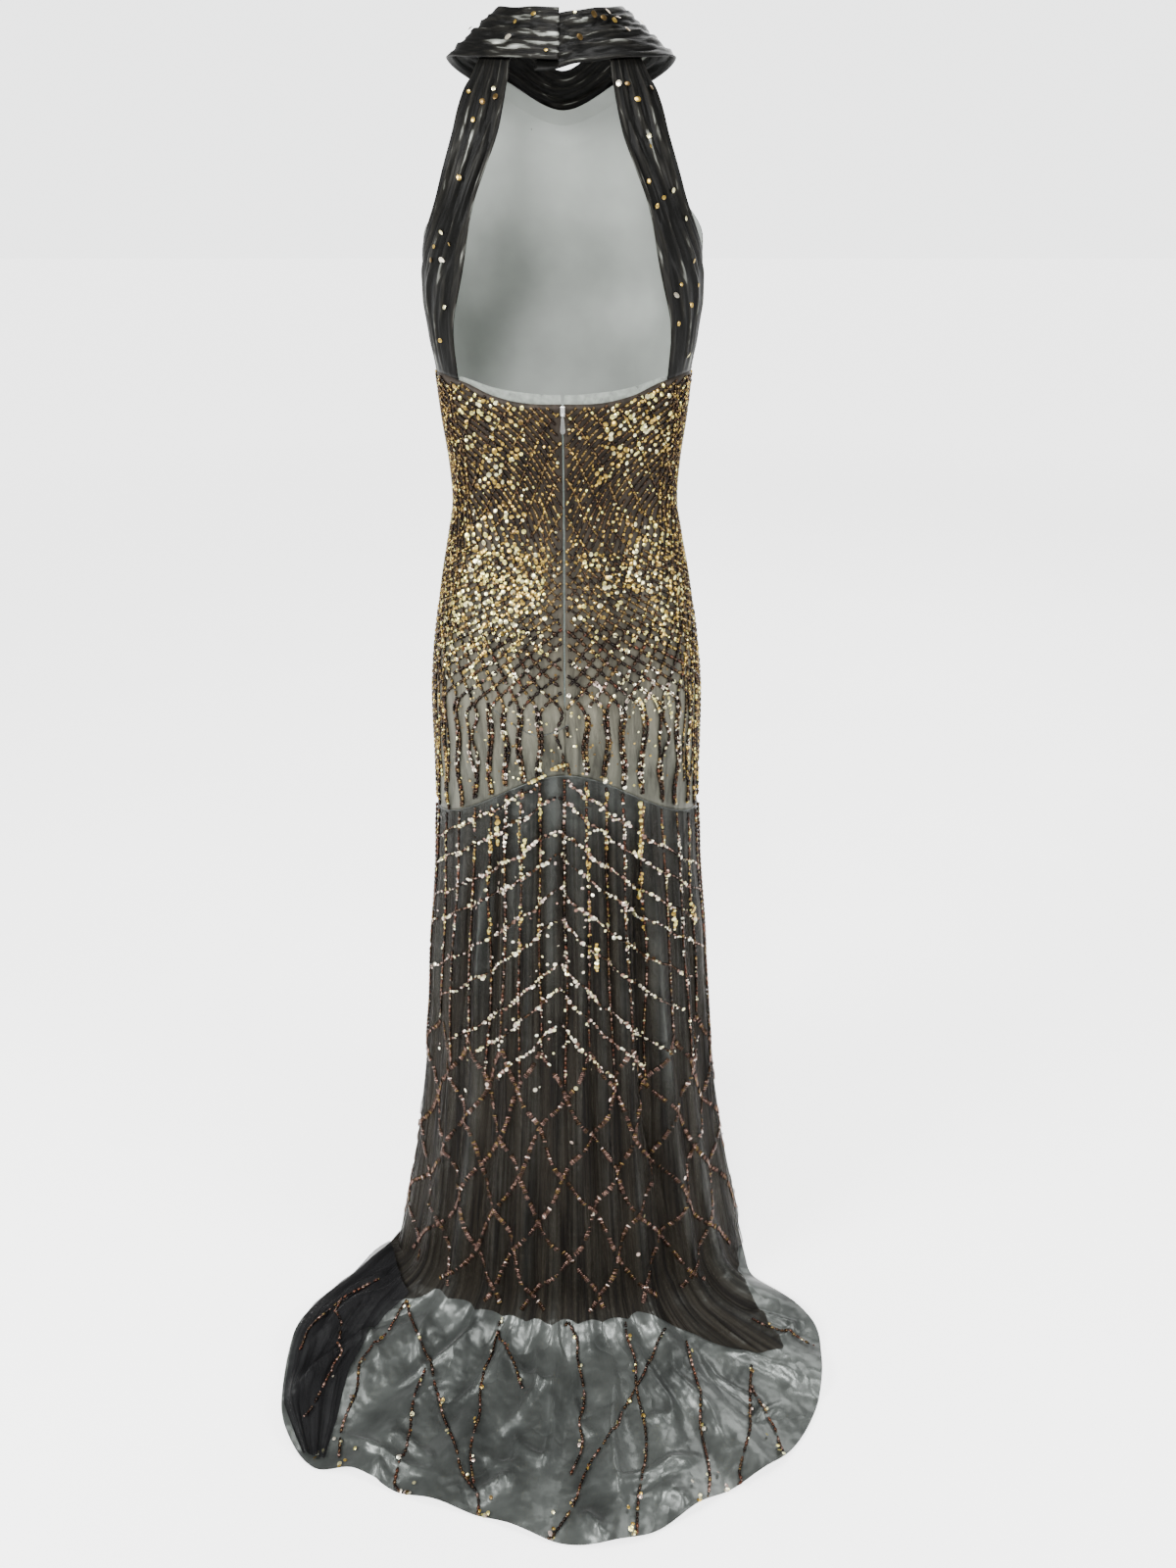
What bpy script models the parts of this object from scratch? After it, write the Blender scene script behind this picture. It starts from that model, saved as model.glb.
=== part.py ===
"""A halter evening gown with a fishtail skirt and a train, standing in its worn shape.

The cloth panels are thin walls laid on one figure surface: a stack of rounded sections that
gives a radius for each height and direction. Directions are degrees round the body, 0 at the
centre back (+Y) and 90 at the wearer's left side (+X). Heights are measured up from the floor,
and the origin is in the middle of the neck loop, so HOLD_HEIGHT is taken off every height.
"""

import math
from functools import partial

import bmesh
import bpy
from mathutils import Matrix, Vector

# ---------------------------------------------------------------- driving dimensions, metres
HOLD_HEIGHT = 1.480  # the middle of the neck loop, above the floor
SEAM_GAP = 0.0003  # clear space between pieces that are sewn edge to edge
WALL = 0.0020  # skirt and bodice: satin under beaded net
STRAP_WALL = 0.0016
STRAP_RUCHE = 0.0010  # how far a strap's lengthwise folds stand out
STRAP_FOLDS = 3.5
COLLAR_WALL = 0.0022
EDGING_WALL = 0.0010

ZIP_BOTTOM = 0.874  # height of the lower end of the centre back zip
SLIT_HALF = 0.0010  # half the slit over the zip
SLIT_TAPER = 0.012  # length over which the slit opens, a third of it below the zip's end
TAPE_SHARE = 0.20  # the tape's edges, as a share of the back panels' first column
TAPE_WALL = 0.0010
EDGING_DEPTH = 0.006  # how far the sheer edging runs down inside the back panels
EDGING_START = 4.05  # degrees from the centre back to the sheer edging's two ends
EDGING_END = 55.8
EDGING_COLUMNS = 8

FRONT_TOP = 1.436  # where the front panel's armhole edges reach the neckband
FRONT_TUCKED = 0.16  # the share of its rows that runs up inside the neckband
FRONT_TUCK_RISE = 0.30  # how far up inside the neckband it runs
NECK_CLEARANCE = 0.012  # how far below the neckband the front panel turns in
FRONT_ROWS = 19
STRAP_START = 59.0  # direction of a strap's inner edge where it leaves the bodice
STRAP_TOP = 1.458
STRAP_TUCKED = 0.18
STRAP_TUCK_RISE = 0.34
TUCK_START = -0.02  # the tucked rows start just below the neckband's lower edge
STRAP_COLUMNS_ACROSS = 14
STRAP_ROWS = 12
TORSO_RADIUS = 0.13  # turns the gap of a side seam into degrees
HIP_RADIUS = 0.17

BACK_ROWS = 11

SLIDER_SIZE = (0.0046, 0.0022, 0.0100)  # across, out and up
SLIDER_HEIGHT = 1.1745  # its middle
PIVOT_HEIGHT = 1.1715  # where the pull's pin sits
SLIDER_ROUNDING = 0.0006
NECK_WIDTH = 0.0012  # the slider's neck in the slit
NECK_SHARE = 0.6  # its length, as a share of the slider's
JOIN_DEPTH = 0.0006  # how far the neck runs into the slider's body
LUG_SINK = 0.0004  # and how far the lugs do
LUG_RADIUS = 0.0010
LUG_WIDTH = 0.0006
PIN_RADIUS = 0.00045
PULL_LENGTH = 0.0180  # from its pin to its tip
PULL_WIDTH = 0.0050
PULL_SHOULDER = 0.0022  # from its pin to where it widens
PULL_WALL = 0.0008
HUB_RADIUS = 0.0012
HUB_WIDTH = 0.0016
RUNNING_GAP = 0.0003  # between the pull's hub and the lugs

COLLAR_TUCK = 0.0042  # how far inside the neckband's middle the pieces under it run
COLLAR_LAP = 0.0021  # half the step between the two lapped ends of the neckband
LAP_TURN = 26.0  # degrees over which a lapped end comes back into the band's line
LAP_LENGTH = 22.0  # degrees at each end that stay lapped
LAP_DROP = 0.16  # how far the end beneath hangs lower, as a share of the band's height
COLLAR_CROWDING = 0.2  # the columns stand closer at the lapped ends
COLLAR_COLUMNS = 40
COLLAR_ROWS = 12

BACK_STEP = 7.5  # degrees between the stations of the hip seam, back and front
FRONT_STEP = 10.0
SKIRT_BACK_COLUMNS = 72
SKIRT_FRONT_COLUMNS = 36

SEAM_CENTRE = 0.791  # the hip seam arches: its height at centre back and front
SEAM_SIDE = 0.708  # and at the side seams
SEAM_ROUNDNESS = 2.2

# ---------------------------------------------------------------- the figure the panels lie on
FIGURE_COLUMNS = ("height", "half_width", "back", "front", "squareness")
FIGURE = (
    (0.000, 0.250, 0.186, 0.176, 2.10),
    (0.120, 0.223, 0.170, 0.160, 2.10),
    (0.265, 0.198, 0.152, 0.143, 2.12),
    (0.399, 0.182, 0.140, 0.128, 2.15),
    (0.524, 0.172, 0.130, 0.118, 2.20),
    (0.640, 0.160, 0.123, 0.111, 2.20),
    (0.748, 0.156, 0.117, 0.108, 2.20),
    (0.850, 0.154, 0.118, 0.107, 2.20),
    (0.898, 0.150, 0.114, 0.106, 2.20),
    (0.945, 0.143, 0.104, 0.103, 2.20),
    (0.991, 0.135, 0.091, 0.098, 2.25),
    (1.035, 0.126, 0.080, 0.093, 2.30),
    (1.067, 0.120, 0.075, 0.091, 2.30),
    (1.110, 0.121, 0.077, 0.093, 2.35),
    (1.160, 0.127, 0.083, 0.104, 2.40),
    (1.204, 0.131, 0.088, 0.120, 2.45),
    (1.240, 0.136, 0.091, 0.131, 2.50),
    (1.274, 0.139, 0.092, 0.133, 2.50),
    (1.310, 0.139, 0.093, 0.124, 2.45),
    (1.350, 0.146, 0.094, 0.106, 2.40),
    (1.390, 0.158, 0.090, 0.090, 2.40),
    (1.425, 0.157, 0.081, 0.081, 2.35),
    (1.448, 0.143, 0.074, 0.077, 2.30),
    (1.462, 0.117, 0.070, 0.075, 2.20),
)
BUST_HEIGHT = 1.258  # the fullest height of the two front cups
BUST_DIRECTION = 33.0  # degrees either side of the centre front
BUST_RISE = 0.007
BUST_SPREAD = 30.0  # degrees from a cup's middle to its edge
BUST_HALF_HEIGHT = 0.085

# ---------------------------------------------------------------- edges that run across the figure
# The back panels' top edge, and the sheer edging that stands above it. The first row only
# keeps the edge level where it crosses the centre.
BACK_TOP_COLUMNS = ("direction", "height", "edging_height")
BACK_TOP = (
    (-25.0, 1.1815, 1.1915),
    (0.0, 1.1805, 1.1890),
    (25.0, 1.1815, 1.1915),
    (42.0, 1.1880, 1.1960),
    (55.0, 1.1985, 1.2030),
    (70.0, 1.2045, 1.2060),
    (90.0, 1.2065, 1.2075),
)
# The two edges of a back strap, from the bodice up to the neckband.
STRAP_COLUMNS = ("height", "inner", "outer")
STRAP = (
    (1.206, 59.0, 90.0),
    (1.250, 57.0, 90.0),
    (1.285, 52.5, 90.0),
    (1.310, 49.5, 80.0),
    (1.335, 46.5, 68.5),
    (1.360, 43.0, 60.5),
    (1.385, 38.5, 56.0),
    (1.410, 35.0, 54.0),
    (1.435, 34.0, 54.0),
    (1.462, 34.5, 54.5),
)
# The front panel's armhole edge, from the underarm point up to the neckband.
ARMHOLE_COLUMNS = ("height", "direction")
ARMHOLE = (
    (1.206, 90.0),
    (1.284, 90.0),
    (1.305, 98.0),
    (1.325, 110.0),
    (1.350, 121.5),
    (1.378, 130.0),
    (1.408, 135.5),
    (1.440, 138.5),
)

# ---------------------------------------------------------------- the neckband's two rings
# Their heights are the same on both sides; the first and last rows only keep the curve level
# where it crosses the centre back and the centre front.
RING_COLUMNS = ("direction", "low_height", "high_height")
RINGS = (
    (-50.0, 1.4740, 1.5140),
    (0.0, 1.4690, 1.5110),
    (50.0, 1.4740, 1.5140),
    (90.0, 1.4780, 1.5170),
    (135.0, 1.4580, 1.4990),
    (180.0, 1.4320, 1.4740),
    (225.0, 1.4580, 1.4990),
)
LOW_RING = (0.107, 0.076, 0.090, 2.05)  # half width, back, front, squareness
HIGH_RING = (0.058, 0.047, 0.058, 2.00)
COLLAR_GATHERS = 4
COLLAR_GATHER_RISE = 0.0011
LAP_LEFT_END = 0.6  # degrees: where the upper end stops, just past the centre back
LAP_RIGHT_END = 16.0  # how far the end beneath it runs on under the upper one

# ---------------------------------------------------------------- the skirt
# How far the train reaches over the floor from the body's axis, in each direction.
TRAIN_COLUMNS = ("direction", "reach")
TRAIN = (
    (-90.0, 0.236),
    (-80.0, 0.252),
    (-72.0, 0.264),
    (-67.5, 0.276),
    (-65.0, 0.298),
    (-62.0, 0.352),
    (-59.0, 0.386),
    (-54.0, 0.408),
    (-45.0, 0.440),
    (-35.0, 0.457),
    (-22.0, 0.458),
    (-8.0, 0.480),
    (0.0, 0.477),
    (12.0, 0.457),
    (26.0, 0.463),
    (33.0, 0.470),
    (38.0, 0.492),
    (45.0, 0.488),
    (52.0, 0.462),
    (58.0, 0.432),
    (63.0, 0.405),
    (67.0, 0.370),
    (71.0, 0.320),
    (75.5, 0.285),
    (82.0, 0.258),
    (90.0, 0.240),
)
# Each flute of the gathered skirt: its direction at the hip seam and at the hem, half its
# width in degrees, and how far it stands out. A negative rise is a deep trough.
BACK_FLUTES = (
    (-72.0, -76.0, 7.5, 0.012),
    (-58.0, -62.0, 7.5, 0.012),
    (-46.0, -51.0, 7.0, 0.013),
    (-37.0, -44.0, 4.5, -0.012),
    (-28.0, -31.0, 6.0, 0.011),
    (-17.5, -19.0, 6.0, 0.009),
    (-6.0, -7.0, 6.5, 0.010),
    (7.0, 7.0, 6.5, 0.009),
    (19.0, 19.5, 6.5, 0.011),
    (30.0, 32.0, 6.5, 0.010),
    (42.5, 46.5, 7.5, 0.013),
    (56.0, 60.0, 7.5, 0.011),
    (72.5, 76.0, 7.5, 0.012),
)
FRONT_FLUTES = (
    (104.0, 103.0, 9.5, 0.010),
    (121.0, 120.0, 9.5, 0.012),
    (139.0, 138.0, 10.0, 0.010),
    (157.0, 157.0, 10.0, 0.013),
    (175.0, 174.0, 10.0, 0.011),
    (193.0, 192.0, 10.0, 0.010),
    (211.0, 211.0, 10.0, 0.012),
    (229.0, 229.0, 10.0, 0.011),
    (247.0, 248.0, 9.5, 0.010),
)
FLUTE_START = 0.010  # length below the hip seam that stays flat
FLUTE_GROWTH = 0.16  # length over which the flutes come up to a third of their rise
FALL_LENGTH = 0.75  # length over which they come up to all of it
BEND_HEIGHT = 0.065  # where the falling skirt starts to turn out along the floor
BEND_LIMIT = 82.0  # degrees from the centre back where the bend has died out
BEND_TURN = 25.0  # degrees over which it dies out
SIDE_FLAT = 5.0  # degrees either side of a side seam over which the flutes die out
FALL_STEPS = 60
BEND_STEPS = 10
BACK_ROW_STAGES = (10, 3, 4)  # rows on the fall, on the bend and on the floor
LEAST_BOTTOM = 0.10  # the least length that the last two of these take up
SHORT_RUN = 0.08  # where the skirt runs out less than this, its flutes flatten on the floor
SEAM_EASING = 0.06  # length over which the skirt leaves the hip seam's straight runs


def read(table, columns, wanted, at):
    """A column of a table at any value of its first column, on a smooth curve."""
    place = columns.index(wanted)
    last = len(table) - 1
    at = min(max(at, table[0][0]), table[last][0])
    i = next(k for k in range(last) if at <= table[k + 1][0])

    def slope(k):
        low, high = max(k - 1, 0), min(k + 1, last)
        return (table[high][place] - table[low][place]) / (table[high][0] - table[low][0])

    span = table[i + 1][0] - table[i][0]
    t = (at - table[i][0]) / span
    start, end = table[i][place], table[i + 1][place]
    return (
        start * (2 * t**3 - 3 * t**2 + 1)
        + end * (3 * t**2 - 2 * t**3)
        + slope(i) * span * (t**3 - 2 * t**2 + t)
        + slope(i + 1) * span * (t**3 - t**2)
    )


def mix(start, end, share):
    return start + (end - start) * share


def ease(share):
    """0 to 1 with a soft start and end."""
    share = min(max(share, 0.0), 1.0)
    return share * share * (3 - 2 * share)


def bump(distance):
    """1 in the middle, falling softly to 0 at a distance of 1."""
    return math.cos(math.pi / 2 * distance) ** 2 if abs(distance) < 1 else 0.0


def rounded_radius(direction, half_width, back, front, squareness):
    """The radius of a superellipse whose back and front have their own depths."""
    angle = math.radians(direction)
    depth = back if math.cos(angle) > 0 else front
    wide = abs(math.sin(angle) / half_width) ** squareness
    deep = abs(math.cos(angle) / depth) ** squareness
    return (wide + deep) ** (-1 / squareness)


def figure_radius(height, direction):
    section = [read(FIGURE, FIGURE_COLUMNS, name, height) for name in FIGURE_COLUMNS[1:]]
    radius = rounded_radius(direction, *section)
    off_cup = abs(abs((direction % 360) - 180) - BUST_DIRECTION)
    cup = bump(off_cup / BUST_SPREAD) * bump((height - BUST_HEIGHT) / BUST_HALF_HEIGHT)
    return radius + BUST_RISE * cup


def spot(radius, height, direction):
    """The point at this radius and height, in the part's own frame."""
    angle = math.radians(direction)
    return Vector((radius * math.sin(angle), radius * math.cos(angle), height - HOLD_HEIGHT))


def figure_spot(height, direction, out=0.0):
    return spot(figure_radius(height, direction) + out, height, direction)


def seam_margin(radius):
    """Half the gap of a side seam, in degrees."""
    return math.degrees(SEAM_GAP / 2 / radius)


# ---------------------------------------------------------------- the hip seam
def seam_height(direction):
    arch = abs(math.cos(math.radians(direction))) ** SEAM_ROUNDNESS
    return mix(SEAM_SIDE, SEAM_CENTRE, arch)


def station_step(direction):
    return BACK_STEP if math.cos(math.radians(direction)) > 0 else FRONT_STEP


def seam_shift(direction):
    """How far the straight run between two seam stations lies from the curve: (radius, height).

    The bodice has a column at each station only. The skirt's finer top edge follows the same
    straight runs, so the gap between them stays even."""
    step = station_step(direction)
    start = 90 + math.floor((direction - 90) / step + 1e-6) * step
    share = (direction - start) / step
    low, high = seam_height(start), seam_height(start + step)
    first = figure_spot(low, start)
    second = figure_spot(high, start + step)
    chord = first.lerp(second, share)
    here = seam_height(direction)
    radius = math.hypot(chord.x, chord.y)
    return radius - figure_radius(here, direction), mix(low, high, share) - here


# ---------------------------------------------------------------- the neckband
def collar_spot(direction, rise, out=0.0):
    """A point on the neckband: rise is 0 at its lower edge and 1 at its upper one."""
    turned = abs((direction + 180) % 360 - 180)
    low_height, high_height = (read(RINGS, RING_COLUMNS, name, turned) for name in RING_COLUMNS[1:])
    low = Vector((rounded_radius(direction, *LOW_RING), low_height))
    high = Vector((rounded_radius(direction, *HIGH_RING), high_height))
    slope = (high - low).normalized()
    place = low.lerp(high, rise) + Vector((slope.y, -slope.x)) * out
    return spot(place.x, place.y, direction)


def collar_panel_spot(across, up):
    """The neckband as one strip whose two ends lap at the centre back."""
    crowded = across - COLLAR_CROWDING * math.sin(2 * math.pi * across) / (2 * math.pi)
    direction = mix(LAP_LEFT_END, 360 + LAP_RIGHT_END, crowded)
    over = COLLAR_LAP * (1 - ease((direction - LAP_LENGTH) / LAP_TURN))
    under = COLLAR_LAP * ease((direction - 340 + LAP_LENGTH) / LAP_TURN)
    gather = COLLAR_GATHER_RISE * math.sin(2 * math.pi * COLLAR_GATHERS * up)
    gather *= 0.75 + 0.25 * math.sin(math.radians(3 * direction))
    # the end beneath hangs a little lower, most of all at its lower edge
    drop = LAP_DROP * ease((direction - 372 + LAP_TURN) / LAP_TURN)
    return collar_spot(direction, up - drop * (1 - 0.6 * up), over - under + gather)


# ---------------------------------------------------------------- the skirt's cloth
def train_run(direction):
    """How far the skirt runs on over the floor, past where it comes down."""
    touch = figure_radius(WALL / 2, direction)
    if math.cos(math.radians(direction)) <= 0:
        return 0.0
    turned = (direction + 180) % 360 - 180
    return max(read(TRAIN, TRAIN_COLUMNS, "reach", turned) - touch, 0.0)


def meridian(direction):
    """The line that the skirt follows in one direction, from the hip seam down and out to the
    hem, as points of (radius, height)."""
    floor = WALL / 2
    touch = figure_radius(floor, direction)
    run = train_run(direction)
    off_back = abs((direction + 180) % 360 - 180)
    bend = BEND_HEIGHT * ease((BEND_LIMIT - off_back) / BEND_TURN) * ease(run / 0.01)
    start = Vector((figure_radius(bend + floor, direction), bend + floor))
    corner = Vector((touch, floor))
    landing = Vector((touch + min(bend, run * 0.6), floor))
    line = []
    for k in range(FALL_STEPS):
        height = mix(seam_height(direction), start.y, k / FALL_STEPS)
        line.append(Vector((figure_radius(height, direction), height)))
    for k in range(BEND_STEPS + 1):
        t = k / BEND_STEPS
        line.append(start.lerp(corner, t).lerp(corner.lerp(landing, t), t))
    line.append(Vector((touch + run, floor)))
    return line


def row_length(line, run, up):
    """How far down a meridian a row lies. So many rows keep to the fall, the bend and the floor;
    where nothing runs over the floor the same rows take up the last of the fall."""
    lengths = [(line[k + 1] - line[k]).length for k in range(len(line) - 1)]
    whole = sum(lengths)
    bottom = max(sum(lengths[FALL_STEPS:]), LEAST_BOTTOM)
    rows = sum(BACK_ROW_STAGES)
    fall_rows, bend_rows, floor_rows = (count / rows for count in BACK_ROW_STAGES)
    bend = sum(lengths[FALL_STEPS : FALL_STEPS + BEND_STEPS])
    bend = mix(bottom * bend_rows / (bend_rows + floor_rows), bend, ease(run / 0.10))
    down = 1 - up
    if down < fall_rows:
        return (whole - bottom) * down / fall_rows
    if down < fall_rows + bend_rows:
        return whole - bottom + bend * (down - fall_rows) / bend_rows
    return mix(whole - bottom + bend, whole, (down - fall_rows - bend_rows) / floor_rows)


def along(line, left):
    """The point at a length down a line, and the direction out of the cloth there."""
    for start, end in zip(line, line[1:]):
        length = (end - start).length
        if length < 1e-7:
            continue
        step = (end - start) / length
        place = start + step * left
        if left <= length:
            break
        left -= length
    return place, Vector((-step.y, step.x))


def flute_depth(direction, length, share, flutes):
    """How far the cloth stands out at a length below the hip seam."""
    depth = 0.0
    for hip, hem, half_width, rise in flutes:
        middle = mix(hip, hem, share)
        depth += rise * bump((direction - middle) / half_width)
    grown = ease((length - FLUTE_START) / FLUTE_GROWTH) / 3
    grown += ease((length - FLUTE_START) / FALL_LENGTH) * 2 / 3
    off_side = min(abs(direction - side) for side in (-90, 90, 270))
    return depth * grown * ease(off_side / SIDE_FLAT)


def skirt_spot(direction, up, flutes):
    """A point of the skirt: up is 0 at the hem and 1 at the hip seam."""
    line = meridian(direction)
    whole = sum((end - start).length for start, end in zip(line, line[1:]))
    length = row_length(line, train_run(direction), up)
    place, outward = along(line, length)
    depth = flute_depth(direction, length, length / whole, flutes)
    # over the floor nothing goes below it, and a short run lies flat
    lying = ease(1.5 * outward.y)
    depth = mix(depth, max(depth, 0.0) * ease(train_run(direction) / SHORT_RUN), lying)
    place = place + outward * depth
    near_seam = 1 - ease(length / SEAM_EASING)
    seam_radius, seam_rise = seam_shift(direction)
    height = place.y + (seam_rise - SEAM_GAP / 2) * near_seam
    return spot(place.x + seam_radius * near_seam, height, direction)


# ---------------------------------------------------------------- the back panels' surface
def slit_direction(height):
    """The direction of a back panel's centre edge: it stands open over the zip."""
    open_share = ease((height - ZIP_BOTTOM + SLIT_TAPER / 3) / SLIT_TAPER)
    half = mix(SEAM_GAP / 2, SLIT_HALF, open_share)
    return math.degrees(half / figure_radius(height, 0.0))


def back_edges(direction):
    """The heights of a back panel's lower and upper edge."""
    high = read(BACK_TOP, BACK_TOP_COLUMNS, "height", abs(direction))
    return seam_height(direction) + SEAM_GAP / 2, high


def back_spot(side, across, up):
    """A point of a back panel: across is 0 at the zip and 1 at the side seam."""
    direction = 90 * across
    height = mix(*back_edges(direction), up)
    if across < 1e-6:
        direction = slit_direction(height)
    if across > 1 - 1e-6:
        direction = 90 - seam_margin(TORSO_RADIUS)
    return figure_spot(height, side * direction)


def on_back(side, across, up, out):
    """A point laid on the flat facets of a back panel and moved out of it, or in."""
    columns = 90 / BACK_STEP
    column = min(math.floor(across * columns + 1e-6), columns - 1)
    row = min(math.floor(up * BACK_ROWS + 1e-6), BACK_ROWS - 1)

    def corner(right, high):
        return back_spot(side, (column + right) / columns, (row + high) / BACK_ROWS)

    low, low_end, high, high_end = corner(0, 0), corner(1, 0), corner(0, 1), corner(1, 1)
    sideways = across * columns - column
    upwards = up * BACK_ROWS - row
    place = low.lerp(low_end, sideways).lerp(high.lerp(high_end, sideways), upwards)
    outward = (low_end - low).cross(high - low).normalized() * -side
    return place + outward * out


# ---------------------------------------------------------------- making the pieces
def make_material(name, colour, roughness, metallic):
    material = bpy.data.materials.new(name)
    material.use_nodes = True
    shader = material.node_tree.nodes["Principled BSDF"]
    shader.inputs["Base Color"].default_value = (*colour, 1.0)
    shader.inputs["Roughness"].default_value = roughness
    shader.inputs["Metallic"].default_value = metallic
    return material


def add_object(name, mesh, material, group):
    mesh.materials.append(material)
    item = bpy.data.objects.new(name, mesh)
    group.objects.link(item)
    return item


def mesh_from(form, name):
    mesh = bpy.data.meshes.new(name)
    form.to_mesh(mesh)
    form.free()
    return mesh


def make_panel(name, columns, rows, place, wall, material, group):
    """A cloth panel: a grid laid out by place(across, up), then given its wall."""
    form = bmesh.new()
    bmesh.ops.create_grid(form, x_segments=columns, y_segments=rows, size=1.0)
    for vertex in form.verts:
        vertex.co = place((vertex.co.x + 1) / 2, (vertex.co.y + 1) / 2)
    bmesh.ops.recalc_face_normals(form, faces=form.faces)
    mesh = mesh_from(form, name)
    mesh.shade_smooth()
    item = add_object(name, mesh, material, group)
    solidify = item.modifiers.new("wall", "SOLIDIFY")
    solidify.thickness = wall
    solidify.offset = 0.0
    return item


def make_block(name, size, place, material, group, rounding=0.0):
    """A box of this size, its edges rounded, moved by the place matrix."""
    form = bmesh.new()
    bmesh.ops.create_cube(form, size=1.0, matrix=Matrix.Diagonal((*size, 1.0)))
    if rounding:
        bmesh.ops.bevel(
            form, geom=form.edges, offset=rounding, segments=2, profile=0.5,
            affect="EDGES", material=-1,
        )
    form.transform(place)
    return add_object(name, mesh_from(form, name), material, group)


def make_rod(name, radius, length, place, material, group):
    """A rod along X, moved by the place matrix."""
    form = bmesh.new()
    bmesh.ops.create_cone(
        form, cap_ends=True, segments=16, radius1=radius, radius2=radius, depth=length,
        matrix=Matrix.Rotation(math.pi / 2, 4, "Y"),
    )
    form.transform(place)
    return add_object(name, mesh_from(form, name), material, group)


def combine(item, helper, operation):
    """Joins a helper to an object, or cuts it away, and hides the helper."""
    helper.hide_render = True
    helper.display_type = "WIRE"
    change = item.modifiers.new(helper.name, "BOOLEAN")
    change.operation = operation
    change.solver = "EXACT"
    change.object = helper


def make_bodice_backs(material, group):
    for name, side in (("bodice_back_left", 1), ("bodice_back_right", -1)):
        columns = round(90 / BACK_STEP)
        make_panel(name, columns, BACK_ROWS, partial(back_spot, side), WALL, material, group)


def make_edging(material, group):
    """The sheer edging: sewn inside the back panels' top edge, it stands a little above it."""
    inside = -(WALL / 2 + SEAM_GAP + EDGING_WALL / 2)
    for name, side in (("back_edging_left", 1), ("back_edging_right", -1)):

        def place(across, up, side=side):
            direction = mix(EDGING_START, EDGING_END, across)
            low, high = back_edges(direction)
            edge = read(BACK_TOP, BACK_TOP_COLUMNS, "edging_height", direction)
            height = mix(high - EDGING_DEPTH, edge, up)
            return on_back(side, direction / 90, (height - low) / (high - low), inside)

        make_panel(name, EDGING_COLUMNS, 2, place, EDGING_WALL, material, group)


def make_zip_tape(material, group):
    """The tape under the slit. Its rows match the back panels' rows, so the two stay parallel."""
    low, high = back_edges(0.0)
    first_row = math.floor((ZIP_BOTTOM - low) / (high - low) * BACK_ROWS)
    column_share = TAPE_SHARE * BACK_STEP / 90
    inside = -(WALL / 2 + SEAM_GAP + TAPE_WALL / 2)

    def place(across, up):
        row = mix(first_row, BACK_ROWS, up) / BACK_ROWS
        side = 1 if across > 0.5 else -1
        column = column_share if abs(across - 0.5) > 0.4 else 0.0
        return on_back(side, column, row, inside)

    make_panel("zip_tape", 3, BACK_ROWS - first_row, place, TAPE_WALL, material, group)


def zip_frame(height):
    """The place on the centre back at a height: its point midway in the cloth and its lean."""
    under = back_spot(1, 0.0, (BACK_ROWS - 1) / BACK_ROWS)
    over = back_spot(1, 0.0, 1.0)
    share = (height - HOLD_HEIGHT - under.z) / (over.z - under.z)
    place = under.lerp(over, share)
    lean = math.atan2(over.y - under.y, over.z - under.z)
    return Matrix.Translation((0, place.y, place.z)) @ Matrix.Rotation(-lean, 4, "X")


def pull_pivot():
    """The middle of the pull's pin."""
    out = WALL / 2 + SEAM_GAP + SLIDER_SIZE[1] + HUB_RADIUS + RUNNING_GAP
    return zip_frame(PIVOT_HEIGHT) @ Vector((0, out, 0))


def make_slider(material, group, helpers):
    """The zip's slider: a body outside the slit, a neck in it, and two lugs with the pin."""
    out = WALL / 2 + SEAM_GAP + SLIDER_SIZE[1] / 2
    frame = zip_frame(SLIDER_HEIGHT)
    body = frame @ Matrix.Translation((0, out, 0))
    slider = make_block("zip_slider", SLIDER_SIZE, body, material, group, SLIDER_ROUNDING)
    neck_depth = WALL + SEAM_GAP + JOIN_DEPTH
    neck_out = out - SLIDER_SIZE[1] / 2 + JOIN_DEPTH - neck_depth / 2
    neck_size = (NECK_WIDTH, neck_depth, SLIDER_SIZE[2] * NECK_SHARE)
    neck_place = frame @ Matrix.Translation((0, neck_out, 0))
    combine(slider, make_block("slider_neck", neck_size, neck_place, material, helpers), "UNION")
    pivot = pull_pivot()
    reach = HUB_RADIUS + RUNNING_GAP + LUG_RADIUS + LUG_SINK
    for name, side in (("lug_left", 1), ("lug_right", -1)):
        across = side * (HUB_WIDTH / 2 + RUNNING_GAP + LUG_WIDTH / 2)
        middle = Vector((across, LUG_RADIUS - reach / 2, 0))
        place = Matrix.Translation(pivot) @ frame.to_3x3().to_4x4() @ Matrix.Translation(middle)
        lug = make_block(name, (LUG_WIDTH, reach, 2 * LUG_RADIUS), place, material, helpers)
        combine(slider, lug, "UNION")
    length = HUB_WIDTH + 2 * RUNNING_GAP + LUG_WIDTH
    pin = make_rod("pull_pin", PIN_RADIUS, length, Matrix.Translation(pivot), material, helpers)
    combine(slider, pin, "UNION")


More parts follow.
